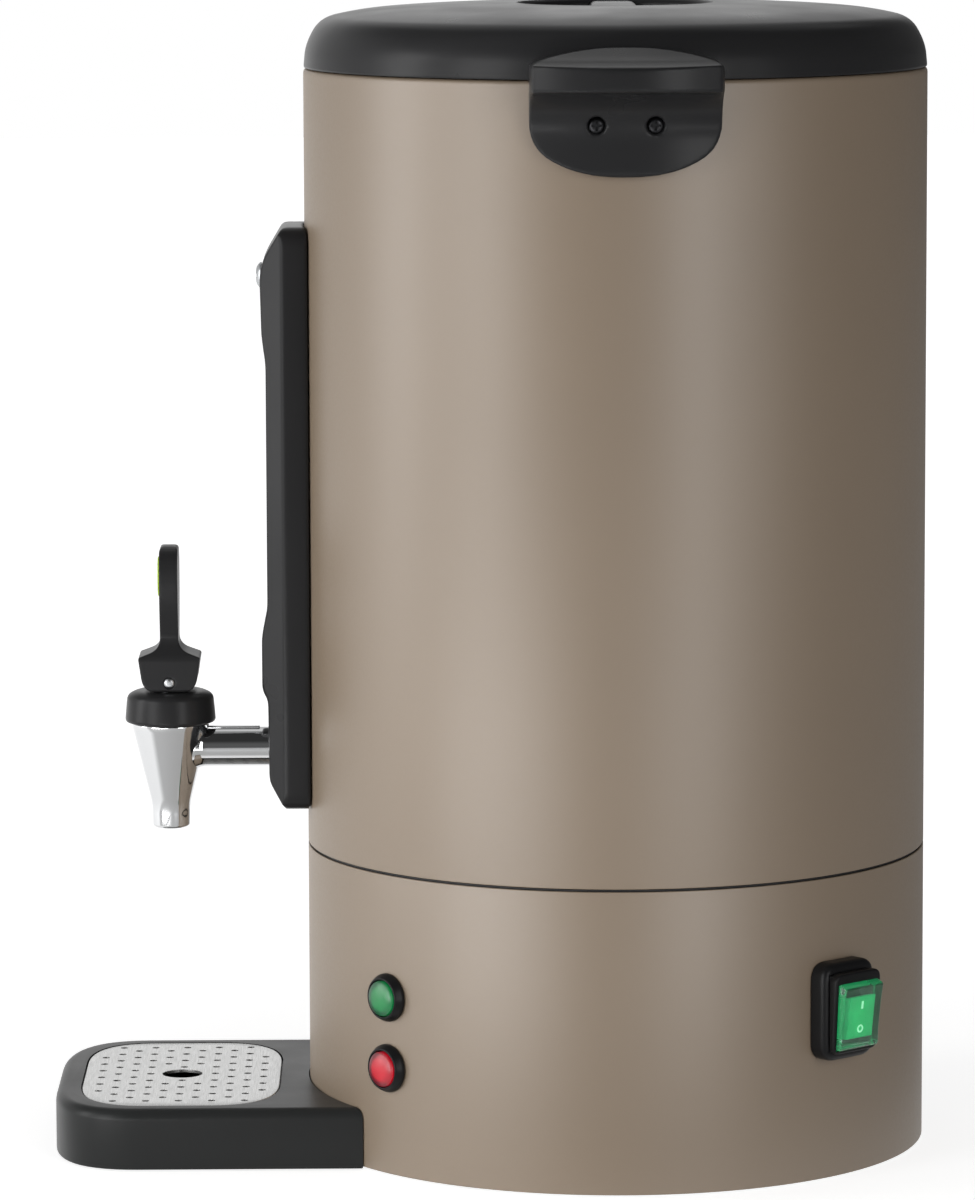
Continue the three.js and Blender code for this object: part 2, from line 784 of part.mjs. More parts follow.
function tankFloorPan() {
  const wellInside = wellRadius - tankWall;
  const wellBottom = tankFloor - wellDepth;
  const edge = tankInside - fitGap;
  return lathed([
    [0, wellBottom],
    [wellRadius, wellBottom],
    [wellRadius, tankFloor],
    [edge, tankFloor],
    [edge, tankFloor + tankWall],
    [wellInside, tankFloor + tankWall],
    [wellInside, wellBottom + tankWall],
    [0, wellBottom + tankWall],
  ], innerSides);
}

// The lid: shoulder and crown outside, a plug ring and a seal rib underneath, and two
// finger wells on each side of the grip bar

function lidSolid() {
  const edge = shoulderInShares.map((share, i) => [
    bodyRadius - share * lidShoulder,
    lidBottom + shoulderUpShares[i] * lidRise,
  ]);
  const crownTop = lidBottom + lidRise + lidCrown;
  const recessFloor = crownTop - recessDepth;
  const undersideTop = lidBottom + lidRise - lidWall;
  const plugInner = plugOuter - plugWall;
  const plugBottom = flangeTop - dimpleBelowRim - lugDrop - lugHeight;
  const ribInner = sealRibRadius - sealRibWidth / 2;
  const ribOuter = sealRibRadius + sealRibWidth / 2;
  const skirtInside = bodyRadius - lidWall;
  const profile = [
    ...edge,
    [recessRadius, crownTop],
    [recessRadius, recessFloor],
    [0, recessFloor],
    [0, recessFloor - lidWall],
    [recessRadius + lidWall, recessFloor - lidWall],
    [recessRadius + lidWall, undersideTop],
    [plugInner, undersideTop - plugSlope],
    [plugInner, plugBottom],
    [plugOuter, plugBottom],
    [plugOuter, undersideTop - lidWall / 2],
    [ribInner, undersideTop - lidWall],
    [ribInner, sealRibBottom],
    [ribOuter, sealRibBottom],
    [ribOuter, undersideTop - 2 * lidWall],
    [skirtInside - lidWall, lidBottom + lidRise / 2],
    [skirtInside, lidBottom],
  ];
  let lid = lathed(profile, bodySides);
  const bar = block(
    recessRadius + lidWall / 2, -gripWidth / 2, gripWidth / 2,
    recessFloor - lidWall / 2, crownTop - gripBelowCrown,
  );
  lid = lid.add(bar);
  const lugInner = plugOuter - plugWall / 2;
  const lugOuter = plugOuter + lugReach;
  const lugTop = plugBottom + lugHeight;
  for (let i = 0; i < bayonetCount; i += 1) {
    const middle = firstLug + (i * 2 * Math.PI) / bayonetCount;
    lid = lid.add(sector(lugInner, lugOuter, middle, lugAngle, plugBottom, lugTop));
  }
  return lid;
}

function lidSeal() {
  const inner = sealRibRadius - sealWidth / 2;
  const outer = sealRibRadius + sealWidth / 2;
  const grooveInner = sealRibRadius - sealRibWidth / 2 - runGap;
  const grooveOuter = sealRibRadius + sealRibWidth / 2 + runGap;
  return lathed([
    [inner, sealBottom],
    [outer, sealBottom],
    [outer, sealBottom + sealHeight],
    [grooveOuter, sealBottom + sealHeight],
    [grooveOuter, sealBottom + sealFloor],
    [grooveInner, sealBottom + sealFloor],
    [grooveInner, sealBottom + sealHeight],
    [inner, sealBottom + sealHeight],
  ], bodySides);
}

// The side handles: a shield-shaped plate that hugs the shell, with a grip lip on top

function handleSolid() {
  const half = handleWidth / 2;
  const plateFront = bodyRadius + handlePlate;
  const lipFront = bodyRadius + handleReach;
  const back = bodyRadius - handleReach;
  const lipDepth = lipFront - plateFront;
  const section = softOutline([
    [back, handleBottom, 0],
    [plateFront, handleBottom, handlePlate / 2],
    [plateFront - handleHollow, handleScrewHeight, lipHeight],
    [plateFront + lipDepth / 2, lipBottom - lipRootDrop, lipHeight],
    [lipFront, lipBottom, lipRoundBelow],
    [lipFront, lipTop, lipRoundAbove],
    [plateFront + lipDepth * lipCrestShare, lipTop + lipCrest, lipHeight / 2],
    [bodyRadius, handleTop, handleEdge],
    [back, handleTop, 0],
  ]);
  const shield = softOutline([
    [-half, handleSideTop, lipHeight / 2],
    [-half, handleScrewHeight - lipHeight, handleCorner / 2],
    [-half + handleCorner, handleBottom, handleCorner],
    [half - handleCorner, handleBottom, handleCorner],
    [half, handleScrewHeight - lipHeight, handleCorner / 2],
    [half, handleSideTop, lipHeight / 2],
    [half / 2, handleTop - handleEdge, lipHeight],
    [-half / 2, handleTop - handleEdge, lipHeight],
  ]);
  const plan = softOutline([
    [-half, -back, 0],
    [-half, -lipFront, lipCorner],
    [half, -lipFront, lipCorner],
    [half, -back, 0],
  ]);
  const low = handleBottom - overrun;
  const high = handleTop + overrun;
  let handle = across(section, half + overrun);
  handle = handle.intersect(forward(shield, back - overrun, lipFront + overrun));
  handle = handle.intersect(upright(plan, low, high));
  handle = handle.subtract(column(bodyRadius + hugGap, low, high, bodySides));
  const seat = plateFront - handleScrewRecessDepth;
  const holeRadius = handleScrewShank + screwHoleGap;
  for (const side of [-1, 1]) {
    const x = (side * handleScrewPitch) / 2;
    const hole = rodForward(holeRadius, back, lipFront, x, handleScrewHeight, screwSides);
    const recess = rodForward(handleScrewRecess, seat, lipFront, x, handleScrewHeight, smallSides);
    handle = handle.subtract(hole).subtract(recess);
  }
  return handle;
}

function handlePieces() {
  const handle = handleSolid();
  const seat = bodyRadius + handlePlate - handleScrewRecessDepth + fitGap;
  const bracketOuter = shellInside - hugGap;
  const middle = handleScrewHeight;
  const holeRadius = handleScrewShank + screwHoleGap;
  let bracket = sector(
    bracketOuter - bracketWall, bracketOuter, 0, bracketAngle,
    middle - bracketHeight / 2, middle + bracketHeight / 2,
  );
  for (const side of [-1, 1]) {
    const x = (side * handleScrewPitch) / 2;
    const near = shellInside - 2 * overrun;
    bracket = bracket.subtract(rodForward(holeRadius, near, bodyRadius, x, middle, screwSides));
  }
  for (const [word, turn] of [['right', Math.PI / 2], ['left', -Math.PI / 2]]) {
    addPiece(`${word}_handle`, handle, blackPlastic, turn);
    addPiece(`${word}_handle_bracket`, bracket, steel, turn);
    [-1, 1].forEach((side, i) => {
      const x = (side * handleScrewPitch) / 2;
      const screw = screwForward(
        handleScrewHead, handleScrewHeadHeight, handleScrewShank, handleScrewLength, seat, x, middle,
      );
      addPiece(`${word}_handle_screw_${i + 1}`, screw, steel, turn);
    });
  }
}

// The sight gauge: a moulded column, open at the back, with a window over a glass tube

function gaugePieces() {
  const front = gaugeFront;
  const waist = front - gaugeWaist;
  const crease = bodyRadius + gaugeCreaseReach;
  const back = 2 * bodyRadius - front;
  const side = softOutline([
    [back, gaugeBottom, 0],
    [crease, gaugeBottom, 0],
    [waist - fitGap, gaugeBottom + gaugeChamfer, fitGap],
    [waist, windowBottom - gaugeBulgeLow - windowLap, windowLap],
    [front, windowBottom - gaugeBulgeLow, windowLap],
    [front, windowBottom - gaugeBulgeHigh, windowLap],
    [waist, windowBottom, windowLap],
    [waist, windowTop, windowLap],
    [front - gaugeWaist * gaugeHeadShare, windowTop + gaugeBulgeHigh, windowLap],
    [front, gaugeTop - gaugeHead, gaugeHead / 2],
    [crease, gaugeTop, 0],
    [back, gaugeTop, 0],
  ]);
  const plan = outline([
    [-gaugeHalfWidth, -back],
    [-gaugeHalfWidth, -crease],
    [-gaugeFrontHalf, -front],
    [gaugeFrontHalf, -front],
    [gaugeHalfWidth, -crease],
    [gaugeHalfWidth, -back],
  ]);
  const face = softRectangle(gaugeHalfWidth, gaugeBottom, gaugeTop, gaugeHead / 2);
  const low = gaugeBottom - overrun;
  const high = gaugeTop + overrun;
  let housing = across(side, gaugeHalfWidth + overrun);
  housing = housing.intersect(upright(plan, low, high));
  housing = housing.intersect(forward(face, back - overrun, front + overrun));
  housing = housing.subtract(
    block(gaugeCavityHalf, back, cavityFront, gaugeBottom + gaugeEnds, gaugeTop - gaugeEnds),
  );
  housing = housing.add(
    rodForward(gaugeBoss, bodyRadius, cavityFront + fitGap, 0, gaugeScrewHeight, smallSides),
  );
  housing = housing.subtract(column(bodyRadius + hugGap, low, high, bodySides));
  const far = front + overrun;
  const screwSeat = front - gaugeWaist / 2;
  const round = (radius, near, height) => rodForward(radius, near, far, 0, height, smallSides);
  housing = housing.subtract(round(gaugeScrewShank + screwHoleGap, back, gaugeScrewHeight));
  housing = housing.subtract(round(shankRadius + fitGap, back, shankHeight));
  housing = housing.subtract(block(windowHalf, cavityFront - overrun, far, windowBottom, windowTop));
  housing = housing.subtract(round(gaugeScrewHead + fitGap, screwSeat, gaugeScrewHeight));
  addPiece('gauge_housing', housing, blackPlastic);

  addPiece('gauge_window', block(
    windowHalf + windowLap, windowBack, windowFront, windowBottom - windowLap, windowTop + windowLap,
  ), clearPlastic);

  const tube = lathed([
    [sightRadius, sightBottom],
    [sightRadius, sightTop],
    [sightRadius - sightWall, sightTop],
    [sightRadius - sightWall, sightBottom],
  ], screwSides);
  addPiece('sight_tube', tube.translate([0, -sightForward, 0]), glass);

  const sealBack = bodyRadius + hugGap;
  const toTube = [0, -sightForward, 0];
  const bore = column(sightRadius + fitGap, sightBottom, sightTop, smallSides).translate(toTube);
  const vent = column(sightRadius - sightWall, gaugeBottom, gaugeTop, screwSides).translate(toTube);
  const lowerBottom = shankHeight + shankRadius + fitGap;
  const lower = block(sealBlockHalf, sealBack, windowFront, lowerBottom, lowerBottom + sealBlockHeight);
  const upperTop = gaugeScrewHeight - gaugeBoss - fitGap;
  const upper = block(sealBlockHalf, sealBack, windowFront, upperTop - sealBlockHeight, upperTop);
  const lowered = bore.translate([0, 0, -fitGap]);
  const raised = bore.translate([0, 0, fitGap]);
  addPiece('gauge_lower_seal', lower.subtract(lowered).subtract(vent), silicone);
  addPiece('gauge_upper_seal', upper.subtract(raised).subtract(vent), silicone);

  addPiece('gauge_screw', screwForward(
    gaugeScrewHead, gaugeScrewHeadHeight, gaugeScrewShank, gaugeScrewLength,
    screwSeat + fitGap, 0, gaugeScrewHeight,
  ), steel);
}

// The tap: body with its shank, bonnet, stem with the seat cup, and the lever on its pin

function tapBody() {
  const cone = spoutBottom + spoutStraight;
  let body = lathed([
    [0, spoutBottom],
    [spoutRadius, spoutBottom],
    [spoutRadius, cone],
    [spoutTopRadius, spoutTop],
    [0, spoutTop],
  ], smallSides).translate([0, -tapForward, 0]);
  body = body.add(rodForward(shankRadius, shankInner, tapForward, 0, shankHeight, smallSides));
  const chamber = lathed([
    [0, spoutBottom - overrun],
    [spoutBore, spoutBottom - overrun],
    [spoutBore, seatHeight],
    [chamberFloorRadius, seatHeight],
    [chamberTopRadius, spoutTop - bonnetPlug],
    [chamberTopRadius, spoutTop + overrun],
    [0, spoutTop + overrun],
  ], smallSides).translate([0, -tapForward, 0]);
  body = body.subtract(chamber);
  return body.subtract(rodForward(shankBore, shankInner - overrun, tapForward, 0, shankHeight, smallSides));
}

function tapBonnet() {
  const bore = stemRadius + fitGap;
  return lathed([
    [bore, spoutTop - bonnetPlug + fitGap],
    [chamberTopRadius - fitGap, spoutTop - bonnetPlug + fitGap],
    [chamberTopRadius - fitGap, spoutTop + fitGap],
    [bonnetRadius, spoutTop + fitGap],
    [bonnetRadius, spoutTop + fitGap + bonnetPlug / 2],
    [bonnetUpperRadius, bonnetShoulder],
    [bonnetFlatRadius, bonnetTop],
    [bore, bonnetTop],
  ], smallSides).translate([0, -tapForward, 0]);
}

function tapLever() {
  const hubBottom = bonnetTop + fitGap;
  const filletHeight = (hubShoulder + neckHeight) / 2;
  const front = tapForward + paddleHalfThickness;
  const back = tapForward - paddleHalfThickness;
  const edge = paddleHalfThickness * paddleEdgeShare;
  const side = softOutline([
    [tapForward - hubLowHalf, hubBottom, hubCorner],
    [tapForward + hubLowHalf, hubBottom, hubCorner],
    [tapForward + hubHighHalf, hubShoulder, fitGap],
    [front, filletHeight, paddleHalfThickness],
    [front, paddleTop, edge],
    [back, paddleTop, edge],
    [back, filletHeight, paddleHalfThickness],
    [tapForward - hubHighHalf, hubShoulder, fitGap],
  ]);
  const face = softOutline([
    [-hubHalf, hubBottom, hubCorner / 2],
    [hubHalf, hubBottom, hubCorner / 2],
    [hubHalf, hubShoulder, hubCorner],
    [neckHalf, neckHeight, hubCorner],
    [paddleHalf, insetHeight - insetHalfHeight, insetHalfHeight],
    [paddleHalf, paddleTop, paddleHalf],
    [-paddleHalf, paddleTop, paddleHalf],
    [-paddleHalf, insetHeight - insetHalfHeight, insetHalfHeight],
    [-neckHalf, neckHeight, hubCorner],
    [-hubHalf, hubShoulder, hubCorner],
  ]);
  const near = tapForward - hubHighHalf - overrun;
  const far = tapForward + hubHighHalf + overrun;
  const slotTop = pinHeight + slotAbovePin;
  let lever = across(side, hubHalf + paddleHalf).intersect(forward(face, near, far));
  lever = lever.subtract(block(stemRadius + runGap, near, far, hubBottom - overrun, slotTop));
  lever = lever.subtract(pinAcross(pinRadius + fitGap, hubHalf + overrun, smallSides));
  const pocket = insetThickness - insetProud + fitGap;
  return lever.subtract(forward(insetOutline(fitGap), front - pocket, front + overrun));
}

// A round bar across the tap, where the lever turns
function pinAcross(radius, half, sides) {
  const geometry = new THREE.CylinderGeometry(radius, radius, 2 * half, sides);
  geometry.rotateZ(Math.PI / 2);
  geometry.translate(0, -tapForward, pinHeight);
  return toSolid(geometry);
}

function insetOutline(margin) {
  const shape = new THREE.Shape();
  const halfWidth = insetHalfWidth + margin;
  const halfHeight = insetHalfHeight + margin;
  shape.absellipse(0, insetHeight, halfWidth, halfHeight, 0, 2 * Math.PI, false, 0);
  return shape;
}

function tapPieces() {
  addPiece('tap_body', tapBody(), chrome);
  addPiece('tap_bonnet', tapBonnet(), blackPlastic);

  const toAxis = [0, -tapForward, 0];
  const stem = column(stemRadius, stemBottom, pinHeight + stemAbovePin, smallSides).translate(toAxis);
  const crossHole = pinAcross(pinRadius + fitGap / 2, stemRadius + overrun, smallSides);
  addPiece('tap_stem', stem.subtract(crossHole), stainless);
  addPiece('tap_pin', pinAcross(pinRadius, hubHalf + fitGap, screwSides), steel);

  const cupBottom = seatHeight + fitGap;
  const socket = stemRadius + fitGap;
  const cup = lathed([
    [0, cupBottom],
    [cupBottomRadius, cupBottom],
    [cupTopRadius, cupBottom + cupHeight],
    [socket, cupBottom + cupHeight],
    [socket, cupBottom + cupFloor],
    [0, cupBottom + cupFloor],
  ], smallSides).translate(toAxis);
  addPiece('seat_cup', cup, silicone);

  addPiece('tap_lever', tapLever(), blackPlastic);
  const insetFace = tapForward + paddleHalfThickness + insetProud;
  addPiece('lever_inset', forward(insetOutline(0), insetFace - insetThickness, insetFace), limePlastic);

  const washerFar = tankInside - washerWallGap;
  const washerNear = washerFar - washerThickness;
  const bar = (radius, near, far) => rodForward(radius, near, far, 0, shankHeight, smallSides);
  const throughHole = bar(shankRadius + fitGap, shankInner - overrun, tankRadius);
  addPiece('tank_washer', bar(nutRadius, washerNear, washerFar).subtract(throughHole), silicone);
  const nutFar = washerNear - fitGap;
  const nut = forward(hexagon(nutRadius), nutFar - nutThickness, nutFar).translate([0, 0, shankHeight]);
  addPiece('shank_nut', nut.subtract(throughHole), brass);
}

// The drip tray, which hooks into the base by a tongue, and its perforated grid

function trayOutline(inset, back) {
  const half = trayHalf - inset;
  const front = trayFront - inset;
  return softOutline([
    [-half, -back, 0],
    [-half, -front, trayCorner - inset],
    [half, -front, trayCorner - inset],
    [half, -back, 0],
  ]);
}

function gridOutline(margin) {
  return softOutline([
    [-gridHalf - margin, -gridFront - margin, gridCorner + margin],
    [gridHalf + margin, -gridFront - margin, gridCorner + margin],
    [gridHalf + margin, -gridBack + margin, gridCorner + margin],
    [-gridHalf - margin, -gridBack + margin, gridCorner + margin],
  ]);
}

function dripTray() {
  const back = bodyRadius - trayHalf / 2;
  const low = trayBottom - overrun;
  const high = trayTop + overrun;
  const ledge = gridTop - gridThickness - fitGap;
  const hug = bodyRadius + hugGap;
  let tray = upright(trayOutline(0, back), trayBottom, trayTop);
  const wellOuter = upright(gridOutline(-gridLedge + trayWall), trayWellFloor - trayWall, trayTop);
  let hollow = upright(trayOutline(trayWall, back - overrun), low, trayTop - trayWall);
  hollow = hollow.subtract(wellOuter);
  hollow = hollow.subtract(upright(gridOutline(trayWall), ledge - trayWall, trayTop));
  hollow = hollow.subtract(column(hug + trayWall, low - overrun, trayTop, bodySides));
  tray = tray.subtract(hollow);
  tray = tray.subtract(column(hug, low, high, bodySides));
  tray = tray.subtract(upright(gridOutline(runGap), ledge, high));
  tray = tray.subtract(upright(gridOutline(-gridLedge), trayWellFloor, trayTop));
  return tray.add(block(tongueHalf, tongueEnd, bodyRadius + trayWall, tongueBottom, tongueTop));
}

function dripGrid() {
  const plate = gridOutline(0);
  const boundary = plate.getPoints(cornerSteps);
  const middleForward = (gridFront + gridBack) / 2;
  const rowPitch = gridPitch / 2;
  const rows = Math.floor((gridFront - gridBack) / 2 / rowPitch);
  const columns = Math.floor((2 * gridHalf) / gridPitch);
  const drainEdge = drainRadius + gridHoleRadius + gridBorder / 2;
  const drain = new THREE.Path();
  drain.absarc(0, -drainForward, drainRadius, 0, 2 * Math.PI, true);
  plate.holes.push(drain);
  for (let row = -rows; row <= rows; row += 1) {
    for (let step = -columns; step <= columns; step += 1) {
      const shift = row % 2 === 0 ? 0 : rowPitch;
      const x = step * gridPitch + shift;
      const y = -middleForward + row * rowPitch;
      const clearOfDrain = Math.hypot(x, y + drainForward) > drainEdge;
      if (clearOfDrain && distanceInside(x, y, boundary) > gridBorder) {
        plate.holes.push(gridHole(x, y));
      }
    }
  }
  return upright(plate, gridTop - gridThickness, gridTop);
}

function gridHole(x, y) {
  const ring = Array.from({ length: gridHoleSides }, (_, i) => {
    const angle = (-i * 2 * Math.PI) / gridHoleSides;
    const out = new THREE.Vector2(Math.cos(angle), Math.sin(angle));
    return out.multiplyScalar(gridHoleRadius).add(new THREE.Vector2(x, y));
  });
  return new THREE.Path(ring);
}

// How far a point lies inside a convex outline; negative outside it
function distanceInside(x, y, boundary) {
  let least = Infinity;
  for (let i = 0; i < boundary.length; i += 1) {
    const a = boundary[i];
    const b = boundary[(i + 1) % boundary.length];
    const length = a.distanceTo(b);
    if (length > 0) {
      const signed = ((b.x - a.x) * (y - a.y) - (b.y - a.y) * (x - a.x)) / length;
      least = Math.min(least, signed);
    }
  }
  return least;
}

// Indicator lamps

function lampPieces(word, height, lensMaterial) {
  const seat = bodyRadius + hugGap;
  const rim = seat + bezelProud;
  const lensSeat = rim - bezelProud / 2;
  const inner = bodyRadius - bezelDepth;
  const edge = bezelProud * bezelEdgeShare;
  const bezel = lathed([
    [bezelBore, inner],
    [bezelNeck, inner],
    [bezelNeck, seat],
    [bezelRadius, seat],
    [bezelRadius, rim - edge],
    [bezelRadius - edge, rim],
    [bezelHollow, rim],
    [bezelHollow, lensSeat],
    [bezelBore, lensSeat],
  ], smallSides);
  const lensProfile = [
    [0, lensSeat - lensDepth],
    [lensNeck, lensSeat - lensDepth],
    [lensNeck, lensSeat + fitGap],
    [lensRadius, lensSeat + fitGap],
    [lensRadius, rim],
  ];
  for (let i = 1; i <= lensSteps; i += 1) {
    const angle = (i * Math.PI) / 2 / lensSteps;
    const radius = i === lensSteps ? 0 : lensRadius * Math.cos(angle);
    lensProfile.push([radius, rim + lensDome * Math.sin(angle)]);
  }
  const lens = lathed(lensProfile, smallSides);
  addPiece(`${word}_lamp_bezel`, facingForward(bezel, height), blackPlastic, lampTurn);
  addPiece(`${word}_lamp_lens`, facingForward(lens, height), lensMaterial, lampTurn);
}

// Tips a piece that was lathed about Z so that its axis runs forward
function facingForward(solid, height) {
  return solid.rotate([90, 0, 0]).translate([0, 0, height]);
}

// The rocker switch: a rounded surround, the switch body with its cavity, and the rocker

function switchPieces() {
  const low = switchHeight - frameHeight / 2;
  const high = switchHeight + frameHeight / 2;
  const frameFront = bodyRadius + frameProud;
  const ring = bodyRadius + hugGap;
  const face = softRectangle(frameWidth / 2, low, high, frameCorner);
  let frame = forward(face, shellInside - overrun, frameFront);
  frame = frame.subtract(column(ring, low - overrun, high + overrun, bodySides));
  frame = frame.subtract(block(
    switchBodyWidth / 2 + fitGap, shellInside - 2 * overrun, frameFront + overrun,
    switchHeight - switchBodyHeight / 2 - fitGap, switchHeight + switchBodyHeight / 2 + fitGap,
  ));
  addPiece('switch_frame', frame, softBlack, switchTurn);

  const stepBack = frameFront + fitGap;
  const stepFront = stepBack + switchStepProud;
  const back = frameFront - switchBodyDepth;
  const lowStep = switchHeight - switchStepHeight / 2;
  const highStep = switchHeight + switchStepHeight / 2;
  const step = softRectangle(switchStepWidth / 2, lowStep, highStep, switchStepCorner);
  let body = forward(step, stepBack, stepFront);
  body = body.add(block(
    switchBodyWidth / 2, back, stepFront - switchStepProud / 2,
    switchHeight - switchBodyHeight / 2, switchHeight + switchBodyHeight / 2,
  ));
  const cavityHalf = rockerRadius + fitGap;
  body = body.subtract(block(
    rockerHalfWidth + fitGap, stepFront - switchCavityDepth, stepFront + overrun,
    switchHeight - cavityHalf, switchHeight + cavityHalf,
  ));
  for (const share of switchBladeShares) {
    const height = switchHeight + share * switchBodyHeight;
    body = body.add(block(
      switchBladeWidth / 2, back - switchBladeLength, back + switchBladeThickness,
      height - switchBladeThickness / 2, height + switchBladeThickness / 2,
    ));
  }
  addPiece('switch_body', body, softBlack, switchTurn);
  addPiece('rocker', rockerSolid(), greenLens, switchTurn);
}

function rockerSolid() {
  const lowFace = bodyRadius + rockerLowProud;
  const highFace = bodyRadius + rockerHighProud;
  const pivot = lowFace - rockerPivotDepth;
  const backFace = pivot - rockerBackDepth;
  const angleAt = (depth) => Math.asin((depth - pivot) / rockerRadius);
  const points = [];
  const addEnd = (fromDepth, toDepth, side) => {
    for (let i = 0; i <= rockerEndSteps; i += 1) {
      const span = angleAt(toDepth) - angleAt(fromDepth);
      const angle = angleAt(fromDepth) + (span * i) / rockerEndSteps;
      const depth = pivot + rockerRadius * Math.sin(angle);
      points.push([depth, switchHeight + side * rockerRadius * Math.cos(angle)]);
    }
  };
  addEnd(backFace, highFace, 1);
  points.push([lowFace, switchHeight]);
  addEnd(lowFace, backFace, -1);
  return across(outline(points.reverse()), rockerHalfWidth);
}

// The power inlet, a socket for a removable lead, with its three pins

function inletPieces() {
  const front = bodyRadius + inletFlangeProud;
  const low = inletHeight - inletFlangeHeight / 2;
  const high = inletHeight + inletFlangeHeight / 2;
  const flange = softRectangle(inletFlangeWidth / 2, low, high, inletFlangeCorner);
  let housing = forward(flange, shellInside - overrun, front);
  housing = housing.subtract(column(bodyRadius + hugGap, low - overrun, high + overrun, bodySides));
  const back = front - inletSocketDepth - inletBack;
  housing = housing.add(block(
    inletBodyWidth / 2, back, front - fitGap,
    inletHeight - inletBodyHeight / 2, inletHeight + inletBodyHeight / 2,
  ));
  housing = housing.subtract(block(
    inletSocketWidth / 2, front - inletSocketDepth, front + overrun,
    inletHeight - inletSocketHeight / 2, inletHeight + inletSocketHeight / 2,
  ));
  const pinPlaces = [
    ['live', -inletPinPitch, -inletPinRise / 2],
    ['earth', 0, inletPinRise / 2],
    ['neutral', inletPinPitch, -inletPinRise / 2],
  ];
  for (const [word, x, rise] of pinPlaces) {
    const height = inletHeight + rise;
    const hole = block(
      inletPinWidth / 2 + fitGap / 2, back - overrun, front - inletSocketDepth + overrun,
      height - inletPinHeight / 2 - fitGap / 2, height + inletPinHeight / 2 + fitGap / 2,
    );
    housing = housing.subtract(hole.translate([x, 0, 0]));
    const pin = block(
      inletPinWidth / 2, back - inletTagLength, front - inletSocketDepth + inletPinLength,
      height - inletPinHeight / 2, height + inletPinHeight / 2,
    );
    addPiece(`inlet_pin_${word}`, pin.translate([x, 0, 0]), brass, inletTurn);
  }
  addPiece('power_inlet', housing, softBlack, inletTurn);
}

// Percolator parts: riser tube, valve disc, basket and its cover

function riserTube() {
  const bottom = tankFloor - wellDepth + tankWall + fitGap;
  const bore = riserRadius - riserWall;
  const neck = bottom + riserFootRise;
  return lathed([
    [riserFootRadius - riserWall, bottom],
    [riserFootRadius, bottom],
    [riserFootRadius, bottom + riserFootEdge],
    [riserFootFlare, neck - riserFootSlope],
    [riserRadius, neck],
    [riserRadius, beadTop - beadTall],
    [riserRadius + beadReach, beadTop - beadTall],
    [riserRadius + beadReach, beadTop],
    [riserRadius, beadTop],
    [riserRadius, riserTop],
    [bore, riserTop],
    [bore, neck - riserWall],
    [riserFootFlare - riserWall, neck - riserFootSlope - riserWall],
  ], smallSides);
}

function filterBasket() {
  const tubeInner = riserRadius + fitGap;
  const tubeOuter = tubeInner + basketWall;
  const basket = lathed([
    [tubeInner, basketBottom],
    [basketRadius, basketBottom],
    [basketRadius, basketTop],
    [basketRadius - basketWall, basketTop],
    [basketRadius - basketWall, basketBottom + basketWall],
    [tubeOuter, basketBottom + basketWall],
    [tubeOuter, basketTop - basketTubeDrop],
    [tubeInner, basketTop - basketTubeDrop],
  ], innerSides);
  return perforated(basket, basketBottom);
}

// A circle of holes through a piece's floor
function perforated(solid, height) {
  const hole = column(basketHoleRadius, height - overrun, height + overrun, gridHoleSides);
  const placed = hole.translate([basketRadius * basketHoleCircleShare, 0, 0]);
  let result = solid;
  for (let i = 0; i < basketHoleCount; i += 1) {
    result = result.subtract(turned(placed, (i * 2 * Math.PI) / basketHoleCount));
  }
  return result;
}

function basketCover() {
  const cover = lathed([
    [riserRadius + fitGap, coverBottom],
    [basketRadius + coverWall, coverBottom],
    [basketRadius + coverWall, coverBottom + coverWall],
    [riserRadius + fitGap, coverBottom + coverWall],
  ], innerSides);
  return perforated(cover, coverBottom);
}

function percolatorPieces() {
  addPiece('riser_tube', riserTube(), stainless);
  addPiece('filter_basket', filterBasket(), stainless);
  addPiece('basket_cover', basketCover(), stainless);
  const valveBottom = tankFloor - wellDepth + tankWall + fitGap;
  const valve = column(valveRadius, valveBottom, valveBottom + valveThickness, smallSides);
  addPiece('pump_valve', valve, stainless);
}

// Heating: a spreader plate under the tank with the main element, a band heater round
// the wall, and two sensors against the floor

// A route of straight stretches whose corners are rounded
function bentRoute(points, bend) {
  const route = new THREE.CurvePath();
  let from = points[0];
  for (let i = 1; i < points.length - 1; i += 1) {
    const corner = points[i];
    const before = points[i - 1].clone().sub(corner);
    const after = points[i + 1].clone().sub(corner);
    const reach = Math.min(bend, before.length() / 2, after.length() / 2);
    const start = before.setLength(reach).add(corner);
    const end = after.setLength(reach).add(corner);
    route.add(new THREE.LineCurve3(from, start));
    route.add(new THREE.QuadraticBezierCurve3(start, corner, end));
    from = end;
  }
  route.add(new THREE.LineCurve3(from, points[points.length - 1]));
  return route;
}

function mainElement() {
  const height = tankFloor - fitGap - heatPlateWall - fitGap - elementRadius;
  const span = 2 * Math.PI - elementOpening;
  const points = [];
  for (let i = 0; i <= elementCorners; i += 1) {
    const angle = Math.PI / 2 + elementOpening / 2 + (i * span) / elementCorners;
    points.push(new THREE.Vector3(elementRing * Math.cos(angle), elementRing * Math.sin(angle), height));
  }
  const first = points[0].clone();
  const last = points[elementCorners].clone();
  points.unshift(first.setZ(height - elementDrop));
  points.push(last.setZ(height - elementDrop));
  const section = new THREE.Shape();
  section.absarc(0, 0, elementRadius, 0, 2 * Math.PI, false);
  return toSolid(new THREE.ExtrudeGeometry(section, {
    extrudePath: bentRoute(points, elementBend),
    steps: elementSteps,
    curveSegments: elementHalfSides,
  }));
}

